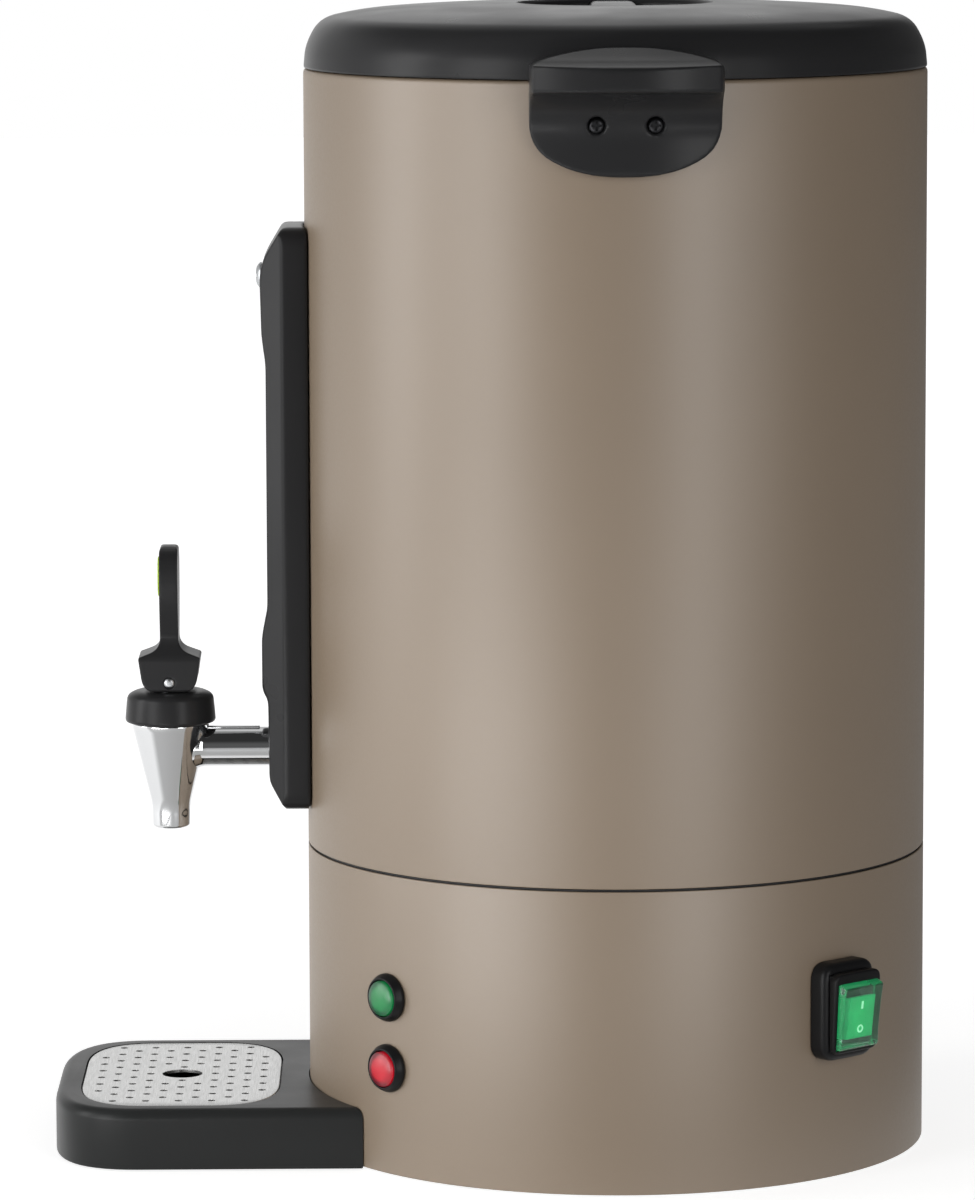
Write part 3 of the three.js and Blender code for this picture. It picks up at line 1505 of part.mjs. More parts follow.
// A round sensor with two fixing lugs against the floor and two blades underneath
function sensor(radius, height) {
  const top = tankFloor - fitGap;
  const bottom = top - height;
  const lugs = block(
    sensorLugHalf, -sensorLugHalfWidth, sensorLugHalfWidth, top - sensorLugThickness, top,
  );
  let body = column(radius, bottom, top, screwSides).add(lugs);
  for (const side of [-1, 1]) {
    const blade = block(
      sensorBladeWidth / 2, -sensorBladeThickness / 2, sensorBladeThickness / 2,
      bottom - sensorBladeLength, bottom + sensorBladeThickness,
    );
    body = body.add(blade.translate([0, (side * sensorBladePitch) / 2, 0]));
  }
  return body.translate([0, -sensorOut, 0]);
}

function heatingPieces() {
  const plateTop = tankFloor - fitGap;
  addPiece('heat_plate', lathed([
    [heatPlateInner, plateTop - heatPlateWall],
    [heatPlateOuter, plateTop - heatPlateWall],
    [heatPlateOuter, plateTop],
    [heatPlateInner, plateTop],
  ], innerSides), aluminium);
  addPiece('main_element', mainElement(), steel);
  addPiece('keep_warm_element', lathed([
    [tankRadius + fitGap, bandBottom],
    [tankRadius + fitGap + bandWall, bandBottom],
    [tankRadius + fitGap + bandWall, bandBottom + bandHeight],
    [tankRadius + fitGap, bandBottom + bandHeight],
  ], innerSides), steel);
  addPiece('thermostat', sensor(thermostatRadius, thermostatHeight), ceramic, sensorTurn);
  addPiece('thermal_cutout', sensor(cutoutRadius, cutoutHeight), ceramic, -sensorTurn);
}

basePieces();
addPiece('outer_shell', outerShell(), taupePaint);
addPiece('inner_tank', innerTank(), stainless);
addPiece('tank_floor', tankFloorPan(), stainless);
addPiece('lid_seal', lidSeal(), silicone);
addPiece('lid', lidSolid(), blackPlastic);
handlePieces();
gaugePieces();
tapPieces();
addPiece('drip_tray', dripTray(), blackPlastic);
addPiece('drip_grid', dripGrid(), stainless);
lampPieces('green', greenLampHeight, greenLens);
lampPieces('red', redLampHeight, redLens);
switchPieces();
inletPieces();
percolatorPieces();
heatingPieces();

// The origin is the middle of the footprint, on the surface that the feet stand on.
const percolator = new THREE.Group();
percolator.add(machine);
percolator.updateMatrixWorld(true);
const bounds = new THREE.Box3().setFromObject(percolator, true);
machine.position.set(0, -(bounds.min.y + bounds.max.y) / 2, -bounds.min.z);

export default percolator;
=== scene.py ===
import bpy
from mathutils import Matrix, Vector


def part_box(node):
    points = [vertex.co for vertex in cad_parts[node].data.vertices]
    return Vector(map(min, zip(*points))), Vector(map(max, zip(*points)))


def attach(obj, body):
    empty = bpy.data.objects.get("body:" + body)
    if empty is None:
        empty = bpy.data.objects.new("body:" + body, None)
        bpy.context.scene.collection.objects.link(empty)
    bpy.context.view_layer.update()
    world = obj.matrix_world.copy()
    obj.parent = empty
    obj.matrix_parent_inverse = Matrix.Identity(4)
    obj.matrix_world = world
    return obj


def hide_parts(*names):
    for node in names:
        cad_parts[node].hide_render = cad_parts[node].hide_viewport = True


bl_info = {
    "name": "Coffee percolator",
    "version": (1, 0, 0),
    "blender": (4, 5, 0),
    "location": "3D View > Sidebar > Percolator",
    "description": "Models a double-walled coffee percolator, piece by piece, on its packed frame",
    "category": "Object",
}

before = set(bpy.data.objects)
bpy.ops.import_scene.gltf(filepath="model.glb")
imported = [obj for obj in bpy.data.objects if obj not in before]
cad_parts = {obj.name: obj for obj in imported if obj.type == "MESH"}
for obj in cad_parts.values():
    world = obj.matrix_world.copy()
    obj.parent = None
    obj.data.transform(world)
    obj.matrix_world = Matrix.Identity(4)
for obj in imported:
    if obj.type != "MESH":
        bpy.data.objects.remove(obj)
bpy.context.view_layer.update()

import math

import bpy
from mathutils import Matrix, Vector

MM = 0.001
SHELL_LOW, SHELL_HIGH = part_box("outer_shell")
BASE_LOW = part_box("base_shell")[0]
# The machine's own axis, and the lower edge of its shells, in the frame
AXIS = Vector(((SHELL_LOW.x + SHELL_HIGH.x) / 2, (SHELL_LOW.y + SHELL_HIGH.y) / 2, BASE_LOW.z))
BODY = round((SHELL_HIGH.x - SHELL_LOW.x) / 2 / MM, 2)
RIM = round((SHELL_HIGH.z - AXIS.z) / MM, 2)
# Millimetres in front of the axis, above the shells' lower edge, or round a bore
TAP_REACH, TUBE_REACH, DRAIN_REACH = 176.3, 128.5, 173
TAP_HEIGHT, SWITCH_HEIGHT, INLET_HEIGHT = 155.0, 66.0, 40.0
LAMP_HEIGHTS = {"green": 69.5, "red": 41.8}
SHANK_BORE = 8.1
# Fittings that sit on the painted shell stand off it by this much, in millimetres
SHELL_GAP = 0.5
# Degrees round the axis from the front
LAMP_TURN, SWITCH_TURN, INLET_TURN = 42.3, 132.3, 210


# Modelling by hand

def only(obj):
    """Select one object and make it the active one."""
    bpy.ops.object.select_all(action="DESELECT")
    obj.select_set(True)
    bpy.context.view_layer.objects.active = obj


def moved(obj, matrix):
    """Move a piece and apply the motion to its mesh."""
    obj.matrix_world = matrix
    only(obj)
    bpy.ops.object.transform_apply(location=True, rotation=True, scale=True)
    return obj


def turned(obj, degrees):
    """Turn a piece that was modelled at the front about the machine's axis."""
    return moved(obj, Matrix.Rotation(math.radians(degrees), 4, "Z"))


def discard(*objs):
    """Throw away tools and patterns that have served."""
    for obj in objs:
        bpy.data.objects.remove(obj, do_unlink=True)


def wire(name, points, closed=False):
    """A line drawn from vertex to vertex through points in millimetres."""
    spots = [Vector(p) * MM for p in points]
    if closed:
        spots.append(spots[0].copy())
    bpy.ops.object.select_all(action="DESELECT")
    bpy.ops.mesh.primitive_plane_add(size=MM, location=spots[0])
    obj = bpy.context.object
    obj.name = obj.data.name = name
    bpy.ops.object.transform_apply(location=True, rotation=False, scale=False)
    bpy.ops.object.mode_set(mode="EDIT")
    bpy.ops.mesh.select_mode(type="VERT")
    bpy.ops.mesh.merge(type="CENTER")
    for before, after in zip(spots, spots[1:]):
        bpy.ops.mesh.extrude_vertices_move(TRANSFORM_OT_translate={"value": after - before})
    bpy.ops.mesh.select_all(action="SELECT")
    if closed:
        bpy.ops.mesh.remove_doubles(threshold=1e-6)
    return obj


def outward():
    """Merge what doubles and turn every face outwards, then leave edit mode."""
    bpy.ops.mesh.select_all(action="SELECT")
    bpy.ops.mesh.remove_doubles(threshold=2e-6)
    bpy.ops.mesh.normals_make_consistent(inside=False)
    bpy.ops.object.mode_set(mode="OBJECT")


def lathe(name, profile, centre=(0, 0, 0), along="Z", steps=96, closed=True, fine=0):
    """A piece turned from a profile of (radius, distance along the axis) points.

    With fine, the profile's corners are rounded in that many steps.
    """
    if fine:
        profile = soft(profile, fine, closed)
    axis = {"Z": Vector((0, 0, 1)), "Y": Vector((0, -1, 0)), "X": Vector((1, 0, 0))}[along]
    side = {"Z": Vector((1, 0, 0)), "Y": Vector((1, 0, 0)), "X": Vector((0, 0, 1))}[along]
    middle = Vector(centre)
    obj = wire(name, [middle + side * p[0] + axis * p[1] for p in profile], closed)
    bpy.ops.mesh.spin(steps=steps, angle=2 * math.pi, center=middle * MM, axis=axis)
    outward()
    return obj


def drum(name, radius, near, far, steps=40, centre=(0, 0, 0), along="Z"):
    """A plain cylinder from one distance along its axis to another."""
    profile = [(0, near), (radius, near), (radius, far), (0, far)]
    return lathe(name, profile, centre, along, steps, closed=False)


def arc_piece(name, profile, middle, width, steps=12):
    """A stretch of a turned ring, width degrees wide, with its middle so many degrees from the front."""
    obj = wire(name, [Vector((0, -p[0], p[1])) for p in profile], closed=True)
    bpy.ops.mesh.edge_face_add()
    # Spin turns clockwise about its axis, so the width is given as a negative angle
    bpy.ops.mesh.spin(steps=steps, angle=-math.radians(width), center=(0, 0, 0), axis=(0, 0, 1))
    outward()
    return turned(obj, middle - width / 2)


def drawn_out(name, points, reach):
    """A closed outline filled and drawn out along reach, in millimetres."""
    obj = wire(name, points, closed=True)
    bpy.ops.mesh.edge_face_add()
    bpy.ops.mesh.extrude_region_move(TRANSFORM_OT_translate={"value": Vector(reach) * MM})
    outward()
    return obj


def across(name, outline, half):
    """An outline of (depth in front of the axis, height), spread to half on each side."""
    return drawn_out(name, [(-half, -d, h) for d, h in outline], (2 * half, 0, 0))


def forward(name, outline, near, far):
    """An outline of (side, height), drawn out from one depth in front of the axis to another."""
    return drawn_out(name, [(x, -near, h) for x, h in outline], (0, near - far, 0))


def upright(name, outline, low, high):
    """An outline of (side, depth in front of the axis), drawn out from one height to another."""
    return drawn_out(name, [(x, -d, low) for x, d in outline], (0, 0, high - low))


def block(name, half, near, far, low, high, x=0):
    """A block with its depths measured in front of the axis."""
    bpy.ops.object.select_all(action="DESELECT")
    bpy.ops.mesh.primitive_cube_add(
        size=1, location=Vector((x, -(near + far) / 2, (low + high) / 2)) * MM,
        scale=Vector((2 * half, far - near, high - low)) * MM)
    obj = bpy.context.object
    obj.name = obj.data.name = name
    bpy.ops.object.transform_apply(location=True, rotation=True, scale=True)
    return obj


def soft(points, steps=6, closed=True):
    """An outline with rounded corners: each point is (across, up, length of the rounding)."""
    result = []
    for i, point in enumerate(points):
        here = Vector(point[:2])
        reach = point[2] if len(point) > 2 else 0
        if reach == 0 or (not closed and i in (0, len(points) - 1)):
            result.append(tuple(here))
            continue
        before = Vector(points[i - 1][:2])
        after = Vector(points[(i + 1) % len(points)][:2])
        start = here.lerp(before, min(reach / (here - before).length, 0.5))
        end = here.lerp(after, min(reach / (here - after).length, 0.5))
        for k in range(steps + 1):
            t = k / steps
            spot = start.lerp(here, t).lerp(here.lerp(end, t), t)
            if not result or (Vector(result[-1]) - spot).length > 0.01:
                result.append(tuple(spot))
    return result


def ellipse(wide, tall, height, half_turn):
    """An ellipse about a height on the axis, in half_turn steps to the half turn."""
    angles = [t * math.pi / half_turn for t in range(2 * half_turn)]
    return [(wide * math.cos(a), height + tall * math.sin(a)) for a in angles]


def circles(*rings):
    """Evenly spaced places on circles, each given as (radius, count)."""
    return [(radius * math.cos(2 * math.pi * i / count), radius * math.sin(2 * math.pi * i / count))
            for radius, count in rings for i in range(count)]


def soft_box(half, low, high, reach):
    """A rectangle with rounded corners."""
    return soft([(-half, low, reach), (half, low, reach), (half, high, reach), (-half, high, reach)], 8)


def modified(obj, kind, **settings):
    """Add a modifier with its settings and apply it."""
    only(obj)
    bpy.ops.object.modifier_add(type=kind)
    modifier = obj.modifiers[-1]
    for key, value in settings.items():
        setattr(modifier, key, value)
    bpy.ops.object.modifier_apply(modifier=modifier.name)
    return obj


def combine(obj, tool, operation):
    """Cut tool out of obj, join it to obj, or keep what both share; the tool is used up."""
    modified(obj, "BOOLEAN", operation=operation, object=tool, solver="EXACT")
    discard(tool)
    return obj


def cut(obj, tool):
    return combine(obj, tool, "DIFFERENCE")


def keep(obj, tool):
    return combine(obj, tool, "INTERSECT")


def weld(obj, tool):
    return combine(obj, tool, "UNION")


def join(obj, *others):
    only(obj)
    for other in others:
        other.select_set(True)
    bpy.ops.object.join()
    return obj


def eased(obj, width, segments=3, angle=35):
    """Round every edge that is sharper than angle."""
    return modified(obj, "BEVEL", width=width * MM, segments=segments, limit_method="ANGLE",
                    angle_limit=math.radians(angle), use_clamp_overlap=True, miter_outer="MITER_ARC")


def eased_where(obj, width, segments, test):
    """Round the edges whose two ends both pass a test on their place in millimetres."""
    only(obj)
    mesh = obj.data
    for item in (mesh.vertices, mesh.edges, mesh.polygons):
        item.foreach_set("select", [False] * len(item))
    for edge in mesh.edges:
        edge.select = all(test(mesh.vertices[i].co / MM) for i in edge.vertices)
    bpy.ops.object.mode_set(mode="EDIT")
    bpy.ops.mesh.select_mode(type="EDGE")
    bpy.ops.mesh.bevel(offset=width * MM, segments=segments, profile=0.5, affect="EDGES")
    outward()
    return obj


def moulded_round(obj, voxel, rounds):
    """Melt the piece's edges into the soft roundings of a moulding."""
    modified(obj, "REMESH", mode="VOXEL", voxel_size=voxel * MM, use_smooth_shade=True)
    return modified(obj, "SMOOTH", factor=0.5, iterations=rounds)


def copied(obj, name, matrix):
    """A copy with its own mesh, moved by a matrix that is then applied."""
    other = obj.copy()
    other.data = obj.data.copy()
    other.name = other.data.name = name
    bpy.context.scene.collection.objects.link(other)
    return moved(other, matrix)


def finished(obj, finish, *nodes, body="machine", slot=None, angle=32):
    """Set a piece down in the frame, give it its finish, and let it ride on its body."""
    moved(obj, Matrix.Translation(AXIS))
    bpy.ops.object.shade_smooth_by_angle(angle=math.radians(angle))
    obj.data.materials.clear()
    obj.data.materials.append(FINISHES[finish])
    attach(obj, body)
    if nodes:
        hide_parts(*nodes)
    return obj


# Finishes

def linear(code):
    """An sRGB colour written as hex, as the linear values that a shader takes."""
    parts = [int(code[i:i + 2], 16) / 255 for i in (0, 2, 4)]
    return [p / 12.92 if p <= 0.04045 else ((p + 0.055) / 1.055) ** 2.4 for p in parts] + [1.0]


def darker(colour, share):
    """The same colour with only a share of its light."""
    return [c * share for c in colour[:3]] + [1.0]


def node(tree, kind, inputs=None, **settings):
    """Add one node with its settings; an input is given a value or another node's output."""
    made = tree.nodes.new(kind)
    for key, value in settings.items():
        setattr(made, key, value)
    for key, value in (inputs or {}).items():
        if isinstance(value, bpy.types.NodeSocket):
            tree.links.new(value, made.inputs[key])
        else:
            made.inputs[key].default_value = value
    return made


def spread(tree, value, start, end, low, high):
    """A value mapped from one range to another."""
    return node(tree, "ShaderNodeMapRange", {
        "Value": value, "From Min": start, "From Max": end, "To Min": low, "To Max": high}).outputs["Result"]


class Finish:
    """A material in the making: its shader, and patterns laid in Object coordinates."""

    def __init__(self, name, constants):
        self.material = bpy.data.materials.new(name)
        self.material.use_nodes = True
        self.tree = self.material.node_tree
        self.tree.nodes.clear()
        self.shader = node(self.tree, "ShaderNodeBsdfPrincipled", constants)
        self.output = node(self.tree, "ShaderNodeOutputMaterial", {"Surface": self.shader.outputs["BSDF"]})
        self.place = node(self.tree, "ShaderNodeTexCoord").outputs["Object"]

    def noise(self, scale, detail, roughness=0.5, place=None):
        """The value of a noise pattern."""
        return node(self.tree, "ShaderNodeTexNoise", {
            "Vector": self.place if place is None else place,
            "Scale": scale, "Detail": detail, "Roughness": roughness}).outputs["Fac"]

    def toned(self, value, first, second, start=0.3, end=0.7):
        """Let a pattern mix the base colour from two."""
        tone = node(self.tree, "ShaderNodeMix", {
            "Factor": spread(self.tree, value, start, end, 0.0, 1.0), "A": first, "B": second}, data_type="RGBA")
        self.tree.links.new(tone.outputs["Result"], self.shader.inputs["Base Color"])

    def glossed(self, value, low, high):
        """Let a pattern vary the roughness."""
        self.tree.links.new(spread(self.tree, value, 0.3, 0.7, low, high), self.shader.inputs["Roughness"])

    def bumped(self, height, distance):
        """Let a pattern, distance millimetres deep, shape the surface."""
        bump = node(self.tree, "ShaderNodeBump", {"Height": height, "Distance": distance * MM, "Strength": 1.0})
        self.tree.links.new(bump.outputs["Normal"], self.shader.inputs["Normal"])


def powder_coated_steel(colour):
    """Polyester powder baked on sheet steel."""
    # The eye sees an even satin colour whose highlights spread wide, over a faint orange
    # peel. The peel's real grain of about 0.5 mm is drawn at 1.1 mm so that it shows.
    coat = Finish("powder_coated_steel", {"Specular IOR Level": 1.0})
    coat.toned(coat.noise(9.0, 2.0), colour, darker(colour, 0.955))
    peel = coat.noise(900.0, 2.0)
    coat.glossed(peel, 0.4, 0.46)
    coat.bumped(peel, 0.012)
    return coat.material


def moulded_plastic(name, colour, low, high, grain, depth):
    """Moulded plastic with the fine grain of an eroded tool."""
    # The grain breaks the highlight into a soft sheen; worn spots are a little glossier.
    plastic = Finish(name, {"Base Color": colour, "IOR": 1.5, "Specular IOR Level": 0.15})
    plastic.glossed(plastic.noise(28.0, 3.0), low, high)
    plastic.bumped(plastic.noise(1 / (grain * MM), 3.0, 0.6), depth)
    return plastic.material


def soft_rubber():
    """Black nitrile rubber, moulded."""
    # Darker and duller than the plastic beside it, with a faint bloom that greys it in patches.
    rubber = Finish("moulded_rubber", {"Roughness": 0.62})
    rubber.toned(rubber.noise(60.0, 4.0), linear("1b1b1c"), linear("262627"))
    rubber.bumped(rubber.noise(1800.0, 2.0), 0.02)
    return rubber.material


def brushed_metal(name, colour, low, high, stretch, spacing):
    """Metal with fine scratches; stretch shrinks the pattern along the scratches."""
    # The scratches draw the highlight out across themselves, and their spacing is drawn
    # wider than the real 0.05 mm so that single streaks show.
    metal = Finish(name, {"Metallic": 1.0})
    run = node(metal.tree, "ShaderNodeMapping", {"Vector": metal.place, "Scale": stretch}, vector_type="POINT")
    streak = metal.noise(1 / (spacing * MM), 3.0, 0.65, run.outputs["Vector"])
    metal.toned(streak, colour, darker(colour, 0.84))
    metal.glossed(streak, low, high)
    metal.bumped(streak, 0.004)
    return metal.material


def polished_chrome():
    """Bright chrome plate on brass."""
    # A dark, sharp mirror; the polishing leaves only the faintest haze.
    chrome = Finish("chrome_plated_brass", {"Metallic": 1.0, "Base Color": linear("d9dadb")})
    haze = chrome.noise(120.0, 3.0)
    chrome.glossed(haze, 0.04, 0.09)
    chrome.bumped(haze, 0.01)
    return chrome.material


def silicone_rubber():
    """Translucent milky silicone."""
    # Light sinks in a little, so its edges look soft and warm.
    silicone = Finish("milky_silicone", {
        "Base Color": linear("d6d3c8"), "Subsurface Weight": 0.25,
        "Subsurface Radius": (0.004, 0.003, 0.002), "Subsurface Scale": 1.0})
    silicone.glossed(silicone.noise(150.0, 3.0), 0.42, 0.56)
    return silicone.material


def see_through(name, colour, ior, roughness):
    """Clear glass or plastic."""
    # Almost only its edges and reflections show; a slight waviness keeps it from looking cut.
    clear = Finish(name, {"Base Color": colour, "Transmission Weight": 1.0, "IOR": ior, "Roughness": roughness})
    clear.bumped(clear.noise(60.0, 1.0), 0.01)
    return clear.material


def tinted_plastic(name, colour, through, roughness, grid=0.0, glow=0.0):
    """Coloured polycarbonate; grid is the pitch of its inner prisms, glow the lamp behind it."""
    # Depth shows as a darker rim round a brighter middle, and the prisms inside a lamp or a
    # rocker break the brightness into small squares.
    tinted = Finish(name, {
        "Transmission Weight": through, "IOR": 1.58, "Emission Color": colour, "Emission Strength": glow})
    cloud = tinted.noise(200.0, 2.0)
    tinted.toned(cloud, colour, darker(colour, 0.85))
    tinted.glossed(cloud, roughness, roughness + 0.06)
    if grid:
        squares = node(tinted.tree, "ShaderNodeTexVoronoi", {
            "Vector": tinted.place, "Scale": 1 / (grid * MM), "Randomness": 0.0}, distance="CHEBYCHEV")
        tinted.bumped(squares.outputs["Distance"], 0.25)
    return tinted.material


def fired_ceramic():
    """Unglazed steatite, as the bodies of switches and sensors are pressed from."""
    # Dull cream with fine darker specks.
    ceramic = Finish("steatite_ceramic", {"Roughness": 0.7})
    specks = ceramic.noise(900.0, 5.0, 0.8)
    ceramic.toned(specks, linear("e2dccb"), linear("b9b09a"), 0.55, 0.75)
    ceramic.bumped(specks, 0.03)
    return ceramic.material


FINISHES = {}


def make_finishes():
    """Make every finish once, with the colours from the scene's settings."""
    colours = bpy.context.scene.percolator_colours
    FINISHES.update(
        taupe=powder_coated_steel(list(colours.paint)),
        black=moulded_plastic("moulded_polypropylene", list(colours.plastic), 0.27, 0.34, 0.5, 0.014),
        tray=moulded_plastic("grained_polypropylene", list(colours.tray), 0.3, 0.38, 0.7, 0.02),
        surround=moulded_plastic("moulded_nylon", linear("19191a"), 0.3, 0.38, 0.5, 0.012),
        lime=moulded_plastic("lime_acetal", list(colours.inset), 0.28, 0.34, 0.6, 0.006),
        mark=tinted_plastic("clear_mint_insert", linear("d4ffe6"), 0.0, 0.4, 0.0, 0.55),
        rubber=soft_rubber(),
        chrome=polished_chrome(),
        tank=brushed_metal("deep_drawn_stainless", linear("cfd0d0"), 0.2, 0.32, (0.02, 0.02, 1.0), 0.45),
        grid=brushed_metal("brushed_stainless_sheet", linear("dcdcdb"), 0.24, 0.36, (0.03, 1.0, 1.0), 0.35),
        turned=brushed_metal("spun_stainless", linear("cbccce"), 0.2, 0.3, (1.0, 1.0, 0.1), 0.5),
        zinc=brushed_metal("zinc_plated_steel", linear("b9bbbd"), 0.26, 0.4, (1.0, 1.0, 1.0), 0.8),
        dark_steel=brushed_metal("blackened_steel", linear("3a3a3c"), 0.34, 0.46, (1.0, 1.0, 1.0), 0.8),
        aluminium=brushed_metal("milled_aluminium", linear("c4c6c8"), 0.3, 0.44, (0.05, 1.0, 1.0), 0.6),
        brass=brushed_metal("turned_brass", linear("c9a75c"), 0.22, 0.34, (1.0, 0.1, 1.0), 0.5),
        silicone=silicone_rubber(),
        glass=see_through("borosilicate_glass", linear("f4fbf8"), 1.47, 0.0),
        window=see_through("clear_polycarbonate", linear("eef4f4"), 1.58, 0.03),
        green_cover=tinted_plastic("clear_green_polycarbonate", linear("a5e0c0"), 0.92, 0.05),
        green_core=tinted_plastic("green_light_panel", linear("1fc47e"), 0.0, 0.3, 0.9, 0.4),
        green_dome=tinted_plastic("green_lamp_polycarbonate", linear("2f9a68"), 0.8, 0.32),
        red_dome=tinted_plastic("red_lamp_polycarbonate", linear("c02f4c"), 0.8, 0.32),
        red_core=tinted_plastic("red_light_panel", linear("f01f48"), 0.0, 0.3, 0.9, 0.5),
        ceramic=fired_ceramic(),
    )


# Settings

class PercolatorSizes(bpy.types.PropertyGroup):
    """The sizes that shape the visible pieces, in metres."""
    body_radius: bpy.props.FloatProperty(
        name="Body radius", description="Outside radius of the painted shells",
        default=BODY * MM, unit="LENGTH", subtype="DISTANCE")
    rim_height: bpy.props.FloatProperty(
        name="Rim height", description="Upper edge of the upper shell, above its lower edge",
        default=RIM * MM, unit="LENGTH", subtype="DISTANCE")
    seam_height: bpy.props.FloatProperty(
        name="Seam height", description="Middle of the groove between the two shells",
        default=0.1176, unit="LENGTH", subtype="DISTANCE")
    edge_round: bpy.props.FloatProperty(
        name="Sheet edge rounding", description="How far the edges of the sheet metal are rounded",
        default=0.0004, unit="LENGTH", subtype="DISTANCE")
    handle_voxel: bpy.props.FloatProperty(
        name="Handle fineness", description="Grid on which the handles are rounded",
        default=0.0007, unit="LENGTH", subtype="DISTANCE")
    hole_radius: bpy.props.FloatProperty(
        name="Grid hole radius", description="Radius of the holes punched in the drip grid",
        default=0.0015, unit="LENGTH", subtype="DISTANCE")
    hole_pitch: bpy.props.FloatProperty(
        name="Grid hole pitch", description="Distance between two holes of one row",
        default=0.0129, unit="LENGTH", subtype="DISTANCE")


class PercolatorColours(bpy.types.PropertyGroup):
    """The colours that a user would change."""
    paint: bpy.props.FloatVectorProperty(
        name="Powder coat", description="Colour of the painted shells",
        size=4, subtype="COLOR", min=0, max=1, default=linear("8a7966"))
    plastic: bpy.props.FloatVectorProperty(
        name="Plastic", description="Colour of the lid, the handles and the gauge column",
        size=4, subtype="COLOR", min=0, max=1, default=linear("2a2a2b"))
    tray: bpy.props.FloatVectorProperty(
        name="Tray plastic", description="Colour of the drip tray",
        size=4, subtype="COLOR", min=0, max=1, default=linear("292a2a"))
    inset: bpy.props.FloatVectorProperty(
        name="Lever inset", description="Colour of the oval let into the lever",
        size=4, subtype="COLOR", min=0, max=1, default=linear("b4d232"))


def size(name):
    """One of the scene's sizes, in millimetres."""
    return getattr(bpy.context.scene.percolator_sizes, name) / MM


def clear_of_shell(obj, low, high):
    """Cut away what would reach into the painted shell, between two heights."""
    return cut(obj, drum("shell_tool", size("body_radius") + SHELL_GAP, low, high, 192))


class PercolatorStep:
    """What every step of the model has in common."""
    bl_options = {"REGISTER", "UNDO"}

    def execute(self, context):
        self.model()
        return {"FINISHED"}


# Body

class PERCOLATOR_OT_shells(PercolatorStep, bpy.types.Operator):
    """Turn the two painted shells and the dark ring in the seam"""
    bl_idname = "percolator.shells"
    bl_label = "Shells and seam"

    def model(self):
        radius, rim, seam = size("body_radius"), size("rim_height"), size("seam_height")
        edge = size("edge_round")
        inside = radius - 1
        upper = lathe("upper_shell", [
            (radius, seam + 0.5, edge), (radius, rim, 2.2), (radius - 10, rim, edge),
            (radius - 10, rim - 1, edge), (inside, rim - 1, 1.2), (inside, seam + 0.5, edge),
        ], fine=5, steps=192)
        cut(upper, drum("shank_opening", SHANK_BORE, inside - 8, radius + 5, 40, (0, 0, TAP_HEIGHT), "Y"))
        finished(upper, "taupe", "outer_shell")

        lower = lathe("lower_shell", [
            (radius, 0, edge), (radius, seam - 0.5, edge), (inside, seam - 0.5, edge), (inside, 4.5, 1),
            (inside - 9, 4.5, edge), (inside - 9, 3.5, edge), (inside, 3.5, edge), (inside, 0, edge),
        ], fine=5, steps=192)
        slot = forward("tray_slot", soft_box(30.5, 5.5, 12.5, 2), inside - 12, radius + 5)
        cut(lower, slot)
        for turn, half, near, far in ((SWITCH_TURN, 11.9, 50.6, 81.4), (INLET_TURN, 15.4, 29.4, 50.6)):
            cut(lower, turned(block("fitting_opening", half, inside - 9, radius + 5, near, far), turn))
        for height in LAMP_HEIGHTS.values():
            hole = drum("lamp_opening", 6.9, inside - 8, radius + 5, 40, (0, 0, height), "Y")
            cut(lower, turned(hole, LAMP_TURN))
        finished(lower, "taupe", "base_shell")

        ring = lathe("seam_band", [
            (inside - 2, seam - 11, 0.4), (inside - 0.5, seam - 11, 0.4), (inside - 0.5, seam - 0.3),
            (inside + 0.2, seam - 0.25, 0.1), (inside + 0.2, seam + 0.25, 0.1), (inside - 0.5, seam + 0.3),
            (inside - 0.5, seam + 12, 0.4), (inside - 2, seam + 12, 0.4),
        ], fine=3, steps=192)
        finished(ring, "rubber", "seam_ring", slot="black_plastic")


class PERCOLATOR_OT_underside(PercolatorStep, bpy.types.Operator):
    """Press the base plate, and set its screws and rubber feet"""
    bl_idname = "percolator.underside"
    bl_label = "Underside"

    def model(self):
        radius = size("body_radius") - 1.6
        plate = lathe("bottom_plate", [
            (0, 1.7), (46, 1.7, 2), (50, 2.5, 2), (106, 2.5, 2), (108.5, 1.7, 1), (radius, 1.7, 0.4),
            (radius, 3.2, 0.4), (109, 3.2, 1), (106.5, 3.2, 1), (50, 3.2, 1), (0, 3.2),
        ], fine=3, steps=128, closed=False)
        cut(plate, punches("vent_punch", circles((22, 8), (32, 12), (42, 18)), 2.2, -2, 8))
        finished(plate, "tank", "base_plate")

        foot = lathe("foot_pattern", [
            (0, -1.2), (4, -1.2, 0.3), (4.6, -0.5, 0.3), (7.2, -1.2, 0.5), (9, -1.2, 0.8), (8.4, 1.4, 0.4),
            (3.6, 1.4), (3.6, 3.8, 0.6), (3.0, 4.8, 0.4), (0, 4.8),
        ], fine=4, centre=(0, -92, 0), steps=48, closed=False)
        self.set_round(foot, 4, "rubber_foot", "rubber", "foot")
        screw = pan_screw("base_screw_pattern", 3, 1.1, 1.5, 8, along="Z", centre=(0, -116.5, 0.3))
        self.set_round(screw, 3, "bottom_screw", "zinc", "base_screw")

    def set_round(self, pattern, count, name, finish, stem):
        """Copies of a pattern, evenly set round the axis; the pattern itself is used up."""
        for i in range(count):
            copy = copied(pattern, f"{name}_{i + 1}", Matrix.Rotation(math.pi * (1 / count + 2 * i / count), 4, "Z"))
            finished(copy, finish, f"{stem}_{i + 1}")
        discard(pattern)


